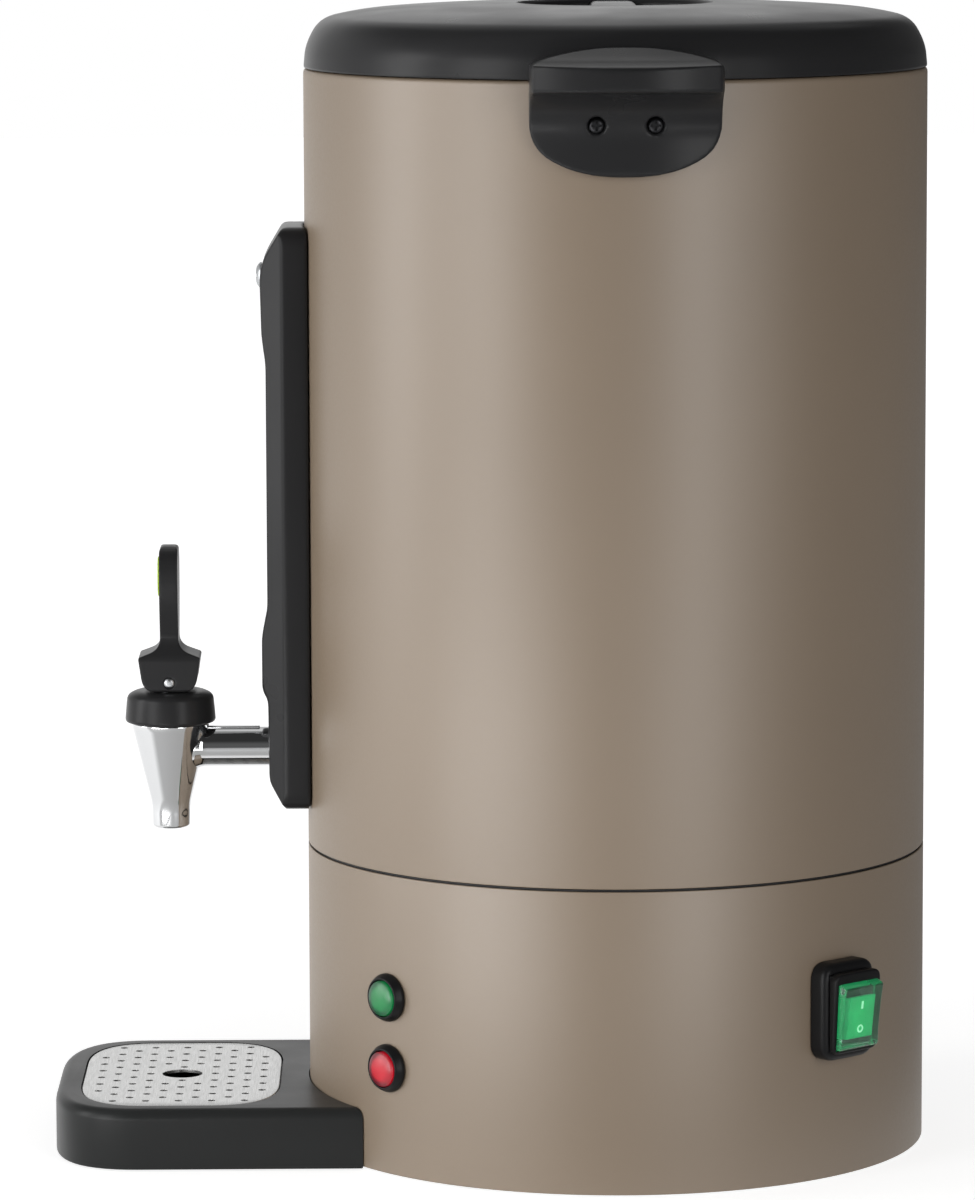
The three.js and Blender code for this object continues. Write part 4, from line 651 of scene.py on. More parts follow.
def punches(name, places, radius, low, high, sides=20):
    """Round punches at many places, as one tool; one is modelled and the rest are copies."""
    bpy.ops.object.select_all(action="DESELECT")
    bpy.ops.mesh.primitive_cylinder_add(
        vertices=sides, radius=radius * MM, depth=(high - low) * MM, location=(0, 0, (low + high) / 2 * MM))
    first = bpy.context.object
    bpy.ops.object.transform_apply(location=True, rotation=True, scale=True)
    others = [copied(first, name, Matrix.Translation((x * MM, y * MM, 0))) for x, y in places]
    discard(first)
    return join(others[0], *others[1:])


def pan_screw(name, head, tall, shank, length, along, centre):
    """A pan-head screw with a cross recess, whose head points along the axis from centre."""
    sign = -1 if along == "Z" else 1
    profile = soft([
        (0, sign * tall), (head * 0.6, sign * tall, tall * 0.5), (head, sign * tall * 0.35, tall * 0.6),
        (head, 0, 0.1), (shank, 0), (shank, -sign * length, 0.3), (0, -sign * (length + shank)),
    ], 5, closed=False)
    screw = lathe(name, profile, centre=centre, along=along, steps=40, closed=False)
    arm, deep = head * 0.62, tall * 0.75
    middle = Vector(centre)
    for wide, high in ((arm, head * 0.15), (head * 0.15, arm)):
        if along == "Z":
            z = middle.z - tall
            tool = block("driver", wide, -middle.y - high, -middle.y + high, z - 1, z + deep, middle.x)
        else:
            d = -middle.y + tall
            tool = block("driver", wide, d - deep, d + 1, middle.z - high, middle.z + high, middle.x)
        cut(screw, tool)
    return screw


class PERCOLATOR_OT_lid(PercolatorStep, bpy.types.Operator):
    """Turn the lid and its seal, and set the grip bar across the finger wells"""
    bl_idname = "percolator.lid"
    bl_label = "Lid and seal"

    def model(self):
        radius, low = size("body_radius"), size("rim_height") + 0.3
        top = low + 24.7
        shoulder = soft([
            (radius - 0.3, low), (radius - 0.2, low + 0.6, 0.4), (radius - 0.9, low + 8.5, 5),
            (radius - 6.3, low + 18.8, 6), (radius - 21.4, low + 22, 8), (radius - 37, low + 23.2, 8),
            (60, low + 24.3, 9), (39.5, top - 0.1),
        ], 8, closed=False)
        # The finger wells' floor, and the feet of the inner skirt and of the rib that presses the seal
        floor, skirt, rib = top - 15, 413.2, 428.2
        rest = soft([
            (38.6, top, 0.6), (37, top - 1.2, 1.5), (36.4, floor, 4), (0, floor), (0, floor - 3),
            (40, floor - 3, 1), (40, low + 20.8, 1), (97, low + 19.8, 1), (97, skirt, 0.5), (100, skirt, 0.5),
            (100, low + 22.3 - 3, 0.5), (108, low + 20.8 - 1, 0.5), (108, rib, 0.3), (111, rib, 0.3),
            (111, low + 17.8, 0.5), (116, low + 11.9, 1), (119, low, 0.4),
        ], 4, closed=False)
        lid = lathe("lid_shell", shoulder + rest, steps=160)
        bar = across("grip_bar", soft([
            (-9.3, floor - 1.5), (9.3, floor - 1.5), (9.3, top - 0.8, 3), (-9.3, top - 0.8, 3),
        ], 6), 38.4)
        weld(lid, bar)
        lug = soft([(98.5, skirt), (102.6, skirt, 0.4), (102.6, skirt + 3, 0.4), (98.5, skirt + 3)], 3)
        lugs = [arc_piece("lug", lug, 60 + 120 * i, 16) for i in range(3)]
        join(lid, *lugs)
        finished(lid, "black", "lid", body="lid", angle=28)

        base, groove, lip = rib - 3.3, rib - 0.3, rib + 3.7
        seal = lathe("lid_gasket", [
            (105.5, base, 0.6), (113.5, base, 0.6), (113.5, lip, 0.5), (111.5, lip, 0.5), (111.5, groove, 0.5),
            (107.5, groove, 0.5), (107.5, lip, 0.5), (105.5, lip, 0.5),
        ], fine=4, steps=128)
        finished(seal, "silicone", "lid_seal", body="lid_seal")


# Fittings

class PERCOLATOR_OT_handles(PercolatorStep, bpy.types.Operator):
    """Mould the two side handles, with their brackets and screws"""
    bl_idname = "percolator.handles"
    bl_label = "Side handles"

    def model(self):
        body, top = size("body_radius"), size("rim_height") + 13.2
        low, side_top, screw_height = top - 49, top - 6.5, top - 29.5
        front, tip, back = body + 5, body + 31.5, body - 31.5
        lip_top, lip_low = top - 7, top - 16
        handle = arc_piece("handle_pattern", soft([
            (back, low), (front, low, 2.5), (front, screw_height + 2, 9),
            (front + 12.6, lip_low - 1.6, 9), (tip, lip_low, 1.6), (tip, lip_top, 2.2),
            (front + 8.83, lip_top + 2.25, 4.5), (body, top, 1), (back, top),
        ], 8), 0, 48, 64)
        crown = [(x, top - 0.5 - 5.6 * (x / 36) ** 2) for x in range(32, -33, -4)]
        keep(handle, forward("shield", soft([
            (-36, side_top, 2.5), (-36, screw_height - 9, 10), (-16, low, 20), (16, low, 20),
            (36, screw_height - 9, 10), (36, side_top, 2.5),
        ] + crown, 10), back - 15, tip + 5))
        curve = 78
        bow = [(x, tip - curve + math.sqrt(curve ** 2 - x ** 2)) for x in range(-35, 36)]
        keep(handle, upright("plan", [(-36, back - 12), (-36, tip - 12)] + bow + [(36, tip - 12), (36, back - 12)],
                             low - 5, top + 5))
        clear_of_shell(handle, low - 8, top + 8)
        screw_sides = (-11, 11)
        for x in screw_sides:
            cut(handle, lathe("recess_tool", [(0, 0), (3.5, 0, 0.5), (3.5, 9, 0), (0, 9)], fine=4,
                              centre=(x, -(front - 2.2), screw_height), along="Y", steps=40, closed=False))
        moulded_round(handle, size("handle_voxel"), 3)
        bracket = arc_piece("bracket_pattern", soft([
            (body - 3, screw_height - 8, 0.3), (body - 1.5, screw_height - 8, 0.3),
            (body - 1.5, screw_height + 8, 0.3), (body - 3, screw_height + 8, 0.3),
        ], 2), 0, 19)
        screws = [pan_screw("handle_screw_pattern", 3.2, 1.5, 1.7, 11, "Y", (x, -(front - 1.7), screw_height))
                  for x in screw_sides]
        for word, angle in (("right", math.pi / 2), ("left", -math.pi / 2)):
            spin = Matrix.Rotation(angle, 4, "Z")
            finished(copied(handle, f"{word}_grip", spin), "black", f"{word}_handle", angle=60)
            finished(copied(bracket, f"{word}_grip_bracket", spin), "zinc", f"{word}_handle_bracket")
            for i, screw in enumerate(screws, 1):
                copy = copied(screw, f"{word}_grip_screw_{i}", spin)
                finished(copy, "dark_steel", f"{word}_handle_screw_{i}")
        discard(handle, bracket, *screws)


class PERCOLATOR_OT_gauge(PercolatorStep, bpy.types.Operator):
    """Mould the sight-gauge column, with its window, glass tube, seals and screw"""
    bl_idname = "percolator.gauge"
    bl_label = "Sight gauge"

    def model(self):
        body = size("body_radius")
        low, top, front = 132.4, size("rim_height") - 61.3, 139.6
        shank = TAP_HEIGHT
        window_low, window_top = shank + 57, top - 54
        waist, crease, back = front - 2.3, body + 8.5, 2 * body - front
        column = across("gauge_column", soft([
            (back, low), (crease, low), (waist - 0.3, low + 11, 2.5), (waist, window_low - 36, 3),
            (front, window_low - 33, 3), (front, window_low - 11, 3), (waist, window_low, 3),
            (waist, window_top, 3), (front - 0.77, window_top + 11, 3), (front, top - 15, 7.5),
            (crease, top, 2), (back, top),
        ], 6), 28)
        keep(column, upright("column_plan", [
            (-23.1, back), (-23.1, crease), (-15.2, front), (15.2, front), (23.1, crease), (23.1, back),
        ], low - 5, top + 5))
        keep(column, forward("column_face", soft_box(23.1, low, top, 7.5), back - 5, front + 5))
        cut(column, block("cavity", 15, back - 1, 134, low + 6, top - 6))
        weld(column, drum("boss", 4.6, body, 134.4, 40, (0, 0, top - 20), "Y"))
        clear_of_shell(column, low - 8, top + 8)
        for radius, near, height in (
                (2.3, back, top - 20), (SHANK_BORE, back, shank), (5.5, front - 1.15, top - 20)):
            cut(column, drum("bore", radius, near, front + 5, 48, (0, 0, height), "Y"))
        cut(column, forward("window_slot", soft_box(5, window_low, window_top, 5), 129, front + 5))
        moulded_round(column, 0.75, 4)
        finished(column, "black", "gauge_housing", angle=60)

        pane = eased(block("gauge_pane", 8, 132, 133.5, window_low - 3, window_top + 3), 0.4)
        finished(pane, "window", "gauge_window")
        tube_low, tube_top = shank + 11, top - 32
        tube = lathe("gauge_tube", [
            (3.5, tube_low, 0.4), (3.5, tube_top, 0.4), (2.6, tube_top, 0.4), (2.6, tube_low, 0.4),
        ], fine=4, centre=(0, -TUBE_REACH, 0), steps=40)
        finished(tube, "glass", "sight_tube")
        for name, stem, bottom in (("lower_gauge_seal", "gauge_lower_seal", shank + 8.1),
                                   ("upper_gauge_seal", "gauge_upper_seal", top - 36.9)):
            seal = block(name, 7, body + SHELL_GAP, 133.5, bottom, bottom + 12)
            cut(seal, drum("tube_tool", 2.6, bottom - 1, bottom + 13, 32, (0, -TUBE_REACH, 0)))
            cut(seal, drum("tube_tool", 3.8, tube_low - 0.3, tube_top + 0.3, 32, (0, -TUBE_REACH, 0)))
            finished(eased(seal, 0.5), "silicone", stem)

        screw = pan_screw("column_screw", 5.2, 2.3, 2, 22, "Y", (0, -(front - 0.85), top - 20))
        finished(screw, "zinc", "gauge_screw")


class PERCOLATOR_OT_tap(PercolatorStep, bpy.types.Operator):
    """Turn the tap's body, shank, bonnet, stem and seat, with its washer and nut"""
    bl_idname = "percolator.tap"
    bl_label = "Tap"

    def model(self):
        axis, shank = TAP_REACH, TAP_HEIGHT
        low, high = shank - 32, shank + 10
        spout = lathe("tap_spout", [
            (5.2, low, 0.5), (6.4, low, 0.5), (7.4, low + 0.8, 0.5), (7.5, low + 9, 3),
            (15.2, high - 1.6, 1), (15.4, high, 0.6), (12.7, high, 0.3), (12.7, high - 2.8, 0.5),
            (7.2, shank - 14, 0.5), (5.2, shank - 14, 0.5),
        ], fine=6, centre=(0, -axis, 0), steps=96)
        pipe = lathe("tap_pipe", [
            (7.8, 92.6, 0.4), (7.8, axis - 13, 1.5), (9.4, axis - 9, 1), (9.4, axis - 4), (5.2, axis - 4), (5.2, 92.6),
        ], fine=6, centre=(0, 0, shank), along="Y", steps=64)
        cut(pipe, lathe("chamber_tool", [(0, shank - 13), (8, shank - 13), (13.2, high + 2), (0, high + 2)],
                        centre=(0, -axis, 0), steps=48, closed=False))
        strip = eased(block("tap_strip", 2.4, 141, axis - 12, shank + 7.2, shank + 8.3), 0.4)
        join(spout, pipe, strip)
        finished(spout, "chrome", "tap_body")

        bonnet = lathe("tap_collar", [
            (3.7, high - 2.5), (12.4, high - 2.5, 0.3), (12.4, high + 0.3), (17.4, high + 0.3, 0.5),
            (17.9, high + 1.2, 0.6), (17.6, high + 5, 2), (17.0, high + 10.9, 1.6), (13.5, high + 12.8, 2),
            (3.7, high + 12.8, 0.3),
        ], fine=6, centre=(0, -axis, 0), steps=96)
        finished(bonnet, "black", "tap_bonnet")

        pin_height = high + 16.7
        stem = lathe("tap_spindle", [
            (0, shank - 9), (3.4, shank - 9, 0.3), (3.4, pin_height + 3.9, 0.8), (0, pin_height + 3.9),
        ], fine=5, centre=(0, -axis, 0), steps=40, closed=False)
        cut(stem, drum("cross_tool", 2.35, -8, 8, 32, (0, -axis, pin_height), "X"))
        finished(stem, "turned", "tap_stem", body="tap_stem")
        pin = lathe("lever_pin", [
            (0, -11.3), (1.2, -11.3, 0.3), (2.2, -10.7, 0.4), (2.2, 10.7, 0.4), (1.2, 11.3, 0.3), (0, 11.3),
        ], fine=4, centre=(0, -axis, pin_height), along="X", steps=40, closed=False)
        finished(pin, "zinc", "tap_pin", body="tap_stem")
        cup_low = shank - 13.7
        cup = lathe("seat_seal", [
            (0, cup_low), (6, cup_low, 0.8), (6.6, cup_low + 4, 1), (6.3, cup_low + 5, 0.5), (7.2, cup_low + 11, 0.5),
            (3.7, cup_low + 11, 0.4), (3.7, cup_low + 4.4, 0.3), (0, cup_low + 4.4),
        ], fine=5, centre=(0, -axis, 0), steps=48, closed=False)
        finished(cup, "silicone", "seat_cup", body="tap_stem")

        washer = lathe("inner_washer", [
            (SHANK_BORE, 100, 0.3), (13, 100, 0.6), (13, 102, 0.6), (SHANK_BORE, 102, 0.3),
        ], fine=4, centre=(0, 0, shank), along="Y", steps=64)
        finished(washer, "silicone", "tank_washer")
        near, far, corner = 93.7, 99.7, 13
        nut = forward("inner_nut", ellipse(corner, corner, shank, 3), near, far)
        keep(nut, lathe("chamfer_tool", [
            (0, near), (11.4, near), (13.2, near + 1.1), (13.2, far - 1.1), (11.4, far), (0, far),
        ], centre=(0, 0, shank), along="Y", steps=64, closed=False))
        cut(nut, drum("thread_tool", SHANK_BORE, 90, 103, 48, (0, 0, shank), "Y"))
        finished(eased(nut, 0.25, 2), "brass", "shank_nut")


class PERCOLATOR_OT_lever(PercolatorStep, bpy.types.Operator):
    """Mould the upright lever and the oval let into it"""
    bl_idname = "percolator.lever"
    bl_label = "Tap lever"

    def model(self):
        axis, low = TAP_REACH, 178.1
        shoulder, top, middle = 191.8, 235.6, 223.0
        neck = shoulder + 6.7
        fillet = (shoulder + neck) / 2
        lever = across("lever_block", soft([
            (axis - 10.25, low, 5.5), (axis + 10.25, low, 5.5), (axis + 12.3, shoulder, 0.8),
            (axis + 3.65, fillet, 4.2), (axis + 3.65, top, 2.4), (axis - 3.65, top, 2.4),
            (axis - 3.65, fillet, 4.2), (axis - 12.3, shoulder, 0.8),
        ], 8), 24)
        keep(lever, forward("lever_face", soft([
            (-11, low, 1.5), (11, low, 1.5), (11, shoulder, 1.5), (7, neck, 3), (12.5, middle - 8, 8),
            (12.5, top, 12.5), (-12.5, top, 12.5), (-12.5, middle - 8, 8), (-7, neck, 3), (-11, shoulder, 1.5),
        ], 10), axis - 18, axis + 18))
        cut(lever, block("stem_slot", 3.9, axis - 18, axis + 18, low - 5, low + 8.8))
        cut(lever, drum("pin_tool", 2.25, -16, 16, 40, (0, -axis, low + 3.6), "X"))
        cut(lever, forward("oval_tool", ellipse(6.3, 8.3, middle, 24), axis + 2.45, axis + 9))
        moulded_round(lever, 0.34, 4)
        finished(lever, "black", "tap_lever", body="tap_lever", angle=60)

        inset = forward("lever_oval", ellipse(6, 8, middle, 32), axis + 2.75, axis + 4.45)
        eased_where(inset, 0.6, 4, lambda p: p.y < -(axis + 4.4))
        finished(inset, "lime", "lever_inset", body="tap_lever")


# Drip tray

def grid_outline(margin, steps=12):
    """The drip grid's rounded outline, (side, depth), grown by margin; its corners are drawn
    out sideways, so they are rounded in a narrower outline that is then stretched."""
    near, far, half, reach = 133.7 - margin, 211.7 + margin, (61 + margin) / 1.5, 26 + margin
    narrow = soft([(-half, far, reach), (half, far, reach), (half, near, reach), (-half, near, reach)], steps)
    return [(x * 1.5, depth) for x, depth in narrow]


class PERCOLATOR_OT_tray(PercolatorStep, bpy.types.Operator):
    """Mould the drip tray, with its well, its ledge and its tongue"""
    bl_idname = "percolator.tray"
    bl_label = "Drip tray"

    def model(self):
        body = size("body_radius")

        def plan(inset, back):
            half, front, reach = (70 - inset) / 1.4, 222 - inset, 34 - inset
            narrow = soft([(-half, back), (-half, front, reach), (half, front, reach), (half, back)], 14)
            return [(x * 1.4, depth) for x, depth in narrow]
        low, top = -0.7, 23
        tray = upright("tray_block", plan(0, body - 35), low, top)
        eased_where(tray, 4.2, 7, lambda p: p.z > top - 0.1)
        eased_where(tray, 0.8, 3, lambda p: p.z < low + 0.1)
        # The hollow below leaves a wall round the well and round the ledge that carries the grid
        wall, well, ledge = 2.5, 6, 21.4
        hollow = upright("tray_hollow", plan(wall, body - 40), low - 5, top - wall)
        cut(hollow, upright("well_outer", grid_outline(-2), well - wall, top + 1))
        cut(hollow, upright("ledge_outer", grid_outline(2.5), ledge - wall, top + 1))
        cut(hollow, drum("wall_tool", body + 3, -12, top + 1, 192))
        cut(tray, hollow)
        clear_of_shell(tray, -12, 30)
        cut(tray, upright("grid_seat", grid_outline(0.5), ledge, 30))
        cut(tray, upright("well", grid_outline(-4.5), well, 25))
        tongue = eased(block("tray_tongue", 30, 106, body + 2.5, 6, 12), 0.8)
        join(tray, tongue)
        finished(tray, "tray", "drip_tray", body="drip_tray")


class PERCOLATOR_OT_grid(PercolatorStep, bpy.types.Operator):
    """Punch the stainless drip grid"""
    bl_idname = "percolator.grid"
    bl_label = "Drip grid"

    def model(self):
        low, top = 21.7, 22.9
        grid = upright("drip_sheet", grid_outline(0, 16), low, top)
        eased_where(grid, 0.5, 3, lambda p: p.z > top - 0.1)
        edge = [Vector((x, d)) for x, d in grid_outline(0)]
        pitch, drain = size("hole_pitch"), Vector((0, DRAIN_REACH))
        # What stays unpunched along the rim, and round the drain's middle
        rim, ring = 3.3, 11.6
        places = []
        for row in range(-6, 7):
            for step in range(-5, 6):
                spot = Vector((step * pitch + (pitch / 2 if row % 2 else 0), 172.7 + row * pitch / 2))
                if (spot - drain).length > ring and clear_inside(spot, edge, rim):
                    places.append((spot.x, -spot.y))
        cut(grid, punches("grid_punch", places, size("hole_radius"), 20, 25, 16))
        cut(grid, punches("drain_punch", [(0, -DRAIN_REACH)], 8, 20, 25, 48))
        finished(grid, "grid", "drip_grid", body="drip_grid")


def clear_inside(spot, edge, margin):
    """Whether a spot lies inside a convex outline by more than margin."""
    for a, b in zip(edge, edge[1:] + edge[:1]):
        side = b - a
        if side.length > 1e-6 and (side.y * (spot.x - a.x) - side.x * (spot.y - a.y)) / side.length < margin:
            return False
    return True


# Lamps, switch, inlet

class PERCOLATOR_OT_lamps(PercolatorStep, bpy.types.Operator):
    """Turn the two indicator lamps: bezel, domed lens and the core behind it"""
    bl_idname = "percolator.lamps"
    bl_label = "Indicator lamps"

    def model(self):
        seat = size("body_radius") + SHELL_GAP
        rim = seat + 3.4
        dome_radius, dome_rise = 6.8, 1.9
        for word, height in LAMP_HEIGHTS.items():
            centre = (0, 0, height)
            bezel = lathe(f"{word}_bezel", [
                (5.2, seat - 19), (6.6, seat - 19), (6.6, seat - 0.4), (9.4, seat - 0.4, 0.3), (9.4, seat + 0.9, 0.6),
                (8.0, rim, 0.7), (7.3, rim, 0.3), (7.1, rim - 0.5, 0.3), (7.1, rim - 1.7), (5.2, rim - 1.7),
            ], fine=6, centre=centre, along="Y", steps=80)
            finished(turned(bezel, LAMP_TURN), "surround", f"{word}_lamp_bezel")
            lens = lathe(f"{word}_lens", [
                (0, rim - 10.7), (4.9, rim - 10.7), (4.9, rim - 1.4), (dome_radius, rim - 1.4),
                (dome_radius, rim), *ellipse(dome_radius, dome_rise, rim, 24)[1:12], (0, rim + dome_rise),
            ], centre=centre, along="Y", steps=80, closed=False)
            finished(turned(lens, LAMP_TURN), f"{word}_dome", f"{word}_lamp_lens")
            core = lathe(f"{word}_core", [
                (0, rim - 10.4), (4.6, rim - 10.4, 0.3), (4.6, rim + 0.5, 0.3), (4.2, rim + 0.9, 0.3), (0, rim + 1.1),
            ], fine=4, centre=centre, along="Y", steps=64, closed=False)
            finished(turned(core, LAMP_TURN), f"{word}_core")


class PERCOLATOR_OT_switch(PercolatorStep, bpy.types.Operator):
    """Mould the switch's surround and body, and the lit rocker with its two marks"""
    bl_idname = "percolator.switch"
    bl_label = "Rocker switch"

    def model(self):
        body, middle = size("body_radius"), SWITCH_HEIGHT
        front = body + 7.3
        surround = forward("switch_surround", soft_box(13.95, middle - 18.9, middle + 19.2, 7), body - 6, front)
        eased_where(surround, 2.8, 6, lambda p: p.y < -(front - 0.1))
        clear_of_shell(surround, 40, 92)
        cut(surround, block("body_tool", 11.8, body - 10, front + 5, middle - 15.1, middle + 15.1))
        finished(turned(surround, SWITCH_TURN), "surround", "switch_frame")

        step_back, step_front = front + 0.3, front + 2.9
        # The body's own rim leans out with the rocker: it stands proudest at the top
        half, foot, head = 12.3, middle - 15.7, middle + 15.7
        lean = [(step_back, foot), (step_back, head), (step_front + 1.6, head), (step_front - 0.2, foot)]
        case = across("switch_case", lean, half)
        keep(case, forward("case_outline", soft_box(half, foot, head, 4), step_back - 1, step_front + 5))
        eased(case, 0.8, 4, 50)
        weld(case, block("case_box", 11.5, front - 26, step_front - 1.3, middle - 14.8, middle + 14.8))
        cut(case, block("rocker_well", 10.8, step_front - 15, step_front + 5, middle - 14.5, middle + 11.6))
        heights = [middle + share * 29.6 for share in (-1 / 3, 0, 1 / 3)]
        join(case, *(eased(block("blade", 3, front - 33, front - 25.1, h - 0.45, h + 0.45), 0.15) for h in heights))
        finished(turned(case, SWITCH_TURN), "surround", "switch_body", slot="black_plastic")

        low_face, high_face = body + 12.2, body + 15.2
        pivot = low_face - 3.2

        def end(side, radius, first, last, steps=10):
            """The rocker's round end, from one depth to another."""
            a, b = (math.asin((d - pivot) / radius) for d in (first, last))
            return [(pivot + radius * math.sin(a + (b - a) * i / steps),
                     middle + side * radius * math.cos(a + (b - a) * i / steps)) for i in range(steps + 1)]
        outline = end(1, 12.2, pivot - 7, high_face) + [
            (low_face + 1.9, middle + 5), (low_face + 1.1, middle - 1), (low_face + 0.35, middle - 7),
        ] + end(-1, 14.2, low_face, pivot - 7)
        rocker = across("rocker_cover", outline, 10.5)
        eased(rocker, 0.9, 4, 40)
        finished(turned(rocker, SWITCH_TURN), "green_cover", "rocker", body="rocker")
        # A bright panel lies inside the clear cover, a little below its slanting face
        top_edge, low_edge = (high_face - 1.6, middle + 6.6), (low_face - 0.7, middle - 9.8)
        slope = (top_edge[0] - low_edge[0]) / (top_edge[1] - low_edge[1])
        panel = across("rocker_panel", [top_edge, low_edge, (pivot - 2, low_edge[1]), (pivot - 2, top_edge[1])], 6.9)
        eased(panel, 0.4, 3, 40)
        finished(turned(panel, SWITCH_TURN), "green_core", body="rocker")

        def on_panel(height):
            """The depth of the panel's face at a height."""
            return low_edge[0] + slope * (height - low_edge[1])
        foot, head = middle + 1.6, middle + 4.6
        line = across("mark_line", [(on_panel(foot) - 0.3, foot), (on_panel(foot) + 0.4, foot),
                                    (on_panel(head) + 0.4, head), (on_panel(head) - 0.3, head)], 0.5)
        ring = lathe("mark_ring", [
            (0.9, 0, 0), (1.6, 0, 0), (1.6, 0.9, 0.1), (0.9, 0.9, 0.1),
        ], fine=2, centre=(0, -(on_panel(middle - 6.3) - 0.45), middle - 6.3), along="Y", steps=40)
        for mark in (line, ring):
            finished(turned(mark, SWITCH_TURN), "mark", body="rocker")


class PERCOLATOR_OT_inlet(PercolatorStep, bpy.types.Operator):
    """Mould the power inlet at the rear, with its three pins"""
    bl_idname = "percolator.inlet"
    bl_label = "Power inlet"

    def model(self):
        body, middle = size("body_radius"), INLET_HEIGHT
        front = body + 3
        housing = forward("inlet_flange", soft_box(25, middle - 12, middle + 12, 4), body - 6, front)
        eased_where(housing, 0.9, 4, lambda p: p.y < -(front - 0.1))
        clear_of_shell(housing, 20, 60)
        weld(housing, block("inlet_box", 15, front - 22, front - 0.3, middle - 10.25, middle + 10.25))
        socket = forward("socket_tool", soft([
            (-12.25, middle - 8.1, 1), (12.25, middle - 8.1, 1), (12.25, middle + 8.1, 1), (-12.25, middle + 8.1, 1),
        ], 5), front - 18, front + 5)
        cut(housing, socket)
        pins = (("live", -7, -2), ("earth", 0, 2), ("neutral", 7, -2))
        for word, x, rise in pins:
            cut(housing, block("pin_tool", 1.15, front - 30, front - 12, middle + rise - 2.15, middle + rise + 2.15, x))
        seat, screw_places = front - 1.8, (("left", -20), ("right", 20))
        for _, x in screw_places:
            cut(housing, drum("screw_seat", 3.6, seat, front + 5, 40, (x, 0, middle), "Y"))
        eased(housing, 0.3, 2)
        finished(turned(housing, INLET_TURN), "surround", "power_inlet", slot="black_plastic")
        for side, x in screw_places:
            screw = pan_screw(f"inlet_screw_{side}", 3.1, 1.6, 1.5, 3.2, "Y", (x, -seat, middle))
            finished(turned(screw, INLET_TURN), "dark_steel")
        for word, x, rise in pins:
            pin = eased(block(f"pin_{word}", 1, front - 29, front - 4, middle + rise - 2, middle + rise + 2, x), 0.4, 3)
            finished(turned(pin, INLET_TURN), "brass", f"inlet_pin_{word}")


# Inside

class PERCOLATOR_OT_tank(PercolatorStep, bpy.types.Operator):
    """Roll the stainless tank wall with its rim, and press its floor with the pump well"""
    bl_idname = "percolator.tank"
    bl_label = "Inner tank"

    def model(self):
        floor, top = 124.0, size("rim_height") + 1.3
        tank = lathe("tank_wall", [
            (104, floor, 0.3), (105, floor, 0.3), (105, top - 1, 1.5), (118, top - 1, 0.4), (118, top, 0.4),
            (104, top, 2.5),
        ], fine=8, steps=160)
        dimple = soft([(104.3, 416.9), (101.0, 417.4, 1), (101.0, 419.8, 1), (104.3, 420.3)], 4)
        dimples = [arc_piece("dimple", dimple, 85 + 120 * i, 18) for i in range(3)]
        join(tank, *dimples)
        finished(tank, "tank", "inner_tank")

        pan = lathe("tank_pan", [
            (0, floor - 13), (23, floor - 13, 2), (23, floor, 1.5), (103.7, floor, 0.4), (103.7, floor + 1, 0.4),
            (22, floor + 1, 2.5), (22, floor - 12, 1.5), (0, floor - 12),
        ], fine=8, steps=160, closed=False)
        finished(pan, "tank", "tank_floor")


class PERCOLATOR_OT_percolating_parts(PercolatorStep, bpy.types.Operator):
    """Spin the riser tube, the filter basket and its cover, and the valve disc"""
    bl_idname = "percolator.percolating_parts"
    bl_label = "Riser and basket"

    def model(self):
        riser_top = size("rim_height") - 13.3
        low, neck = 112.3, 124.3
        # The bead carries the basket, and the basket its cover
        cover_low = riser_top - 5.4
        basket_top, basket_low = cover_low - 0.3, cover_low - 74.3
        bead = basket_low - 0.3
        riser = lathe("riser_pipe", [
            (17, low, 0.2), (18, low, 0.2), (18, low + 1.5, 0.8), (9, neck - 4, 3), (5, neck, 2), (5, bead - 2),
            (7.5, bead - 2, 0.6), (7.5, bead, 0.6), (5, bead), (5, riser_top, 0.4), (4, riser_top, 0.4),
            (4, neck - 1, 2), (8, neck - 5, 2),
        ], fine=5, steps=64)
        finished(riser, "turned", "riser_tube")

        basket = lathe("coffee_basket", [
            (5.3, basket_low, 0.3), (62, basket_low, 3), (62, basket_top, 0.4), (61.2, basket_top, 0.3),
            (61.2, basket_low + 0.8, 2.4), (6.1, basket_low + 0.8, 0.6), (6.1, basket_top - 4, 0.3),
            (5.3, basket_top - 4, 0.3),
        ], fine=5, steps=96)
        holes = circles(*((12 + 6 * k, 8 + 5 * k) for k in range(8)))
        cut(basket, punches("basket_punch", holes, 0.9, basket_low - 2, basket_low + 3, 8))
        finished(basket, "turned", "filter_basket")

        cover = lathe("basket_lid", [
            (5.3, cover_low, 0.3), (62, cover_low, 0.3), (63, cover_low + 0.2, 0.3), (63, cover_low + 1, 0.4),
            (57, cover_low + 1, 1), (55.5, cover_low + 1.0, 1), (5.3, cover_low + 1, 0.3),
        ], fine=4, steps=96)
        cut(cover, punches("cover_punch", holes, 0.9, cover_low - 2, cover_low + 3, 8))
        finished(cover, "turned", "basket_cover")

        valve = lathe("valve_disc", [
            (0, low), (9, low, 0.3), (9, low + 1, 0.3), (0, low + 1),
        ], fine=3, steps=48, closed=False)
        finished(valve, "turned", "pump_valve", body="pump_valve")


class PERCOLATOR_OT_heating(PercolatorStep, bpy.types.Operator):
    """Finish the carried heating pieces in their own metals"""
    bl_idname = "percolator.heating"
    bl_label = "Heating"

    def model(self):
        for name, finish in (("heat_plate", "aluminium"), ("main_element", "zinc"), ("keep_warm_element", "zinc"),
                             ("thermostat", "ceramic"), ("thermal_cutout", "ceramic")):
            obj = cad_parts[name]
            for slot in obj.material_slots:
                slot.material = FINISHES[finish]


# Studio

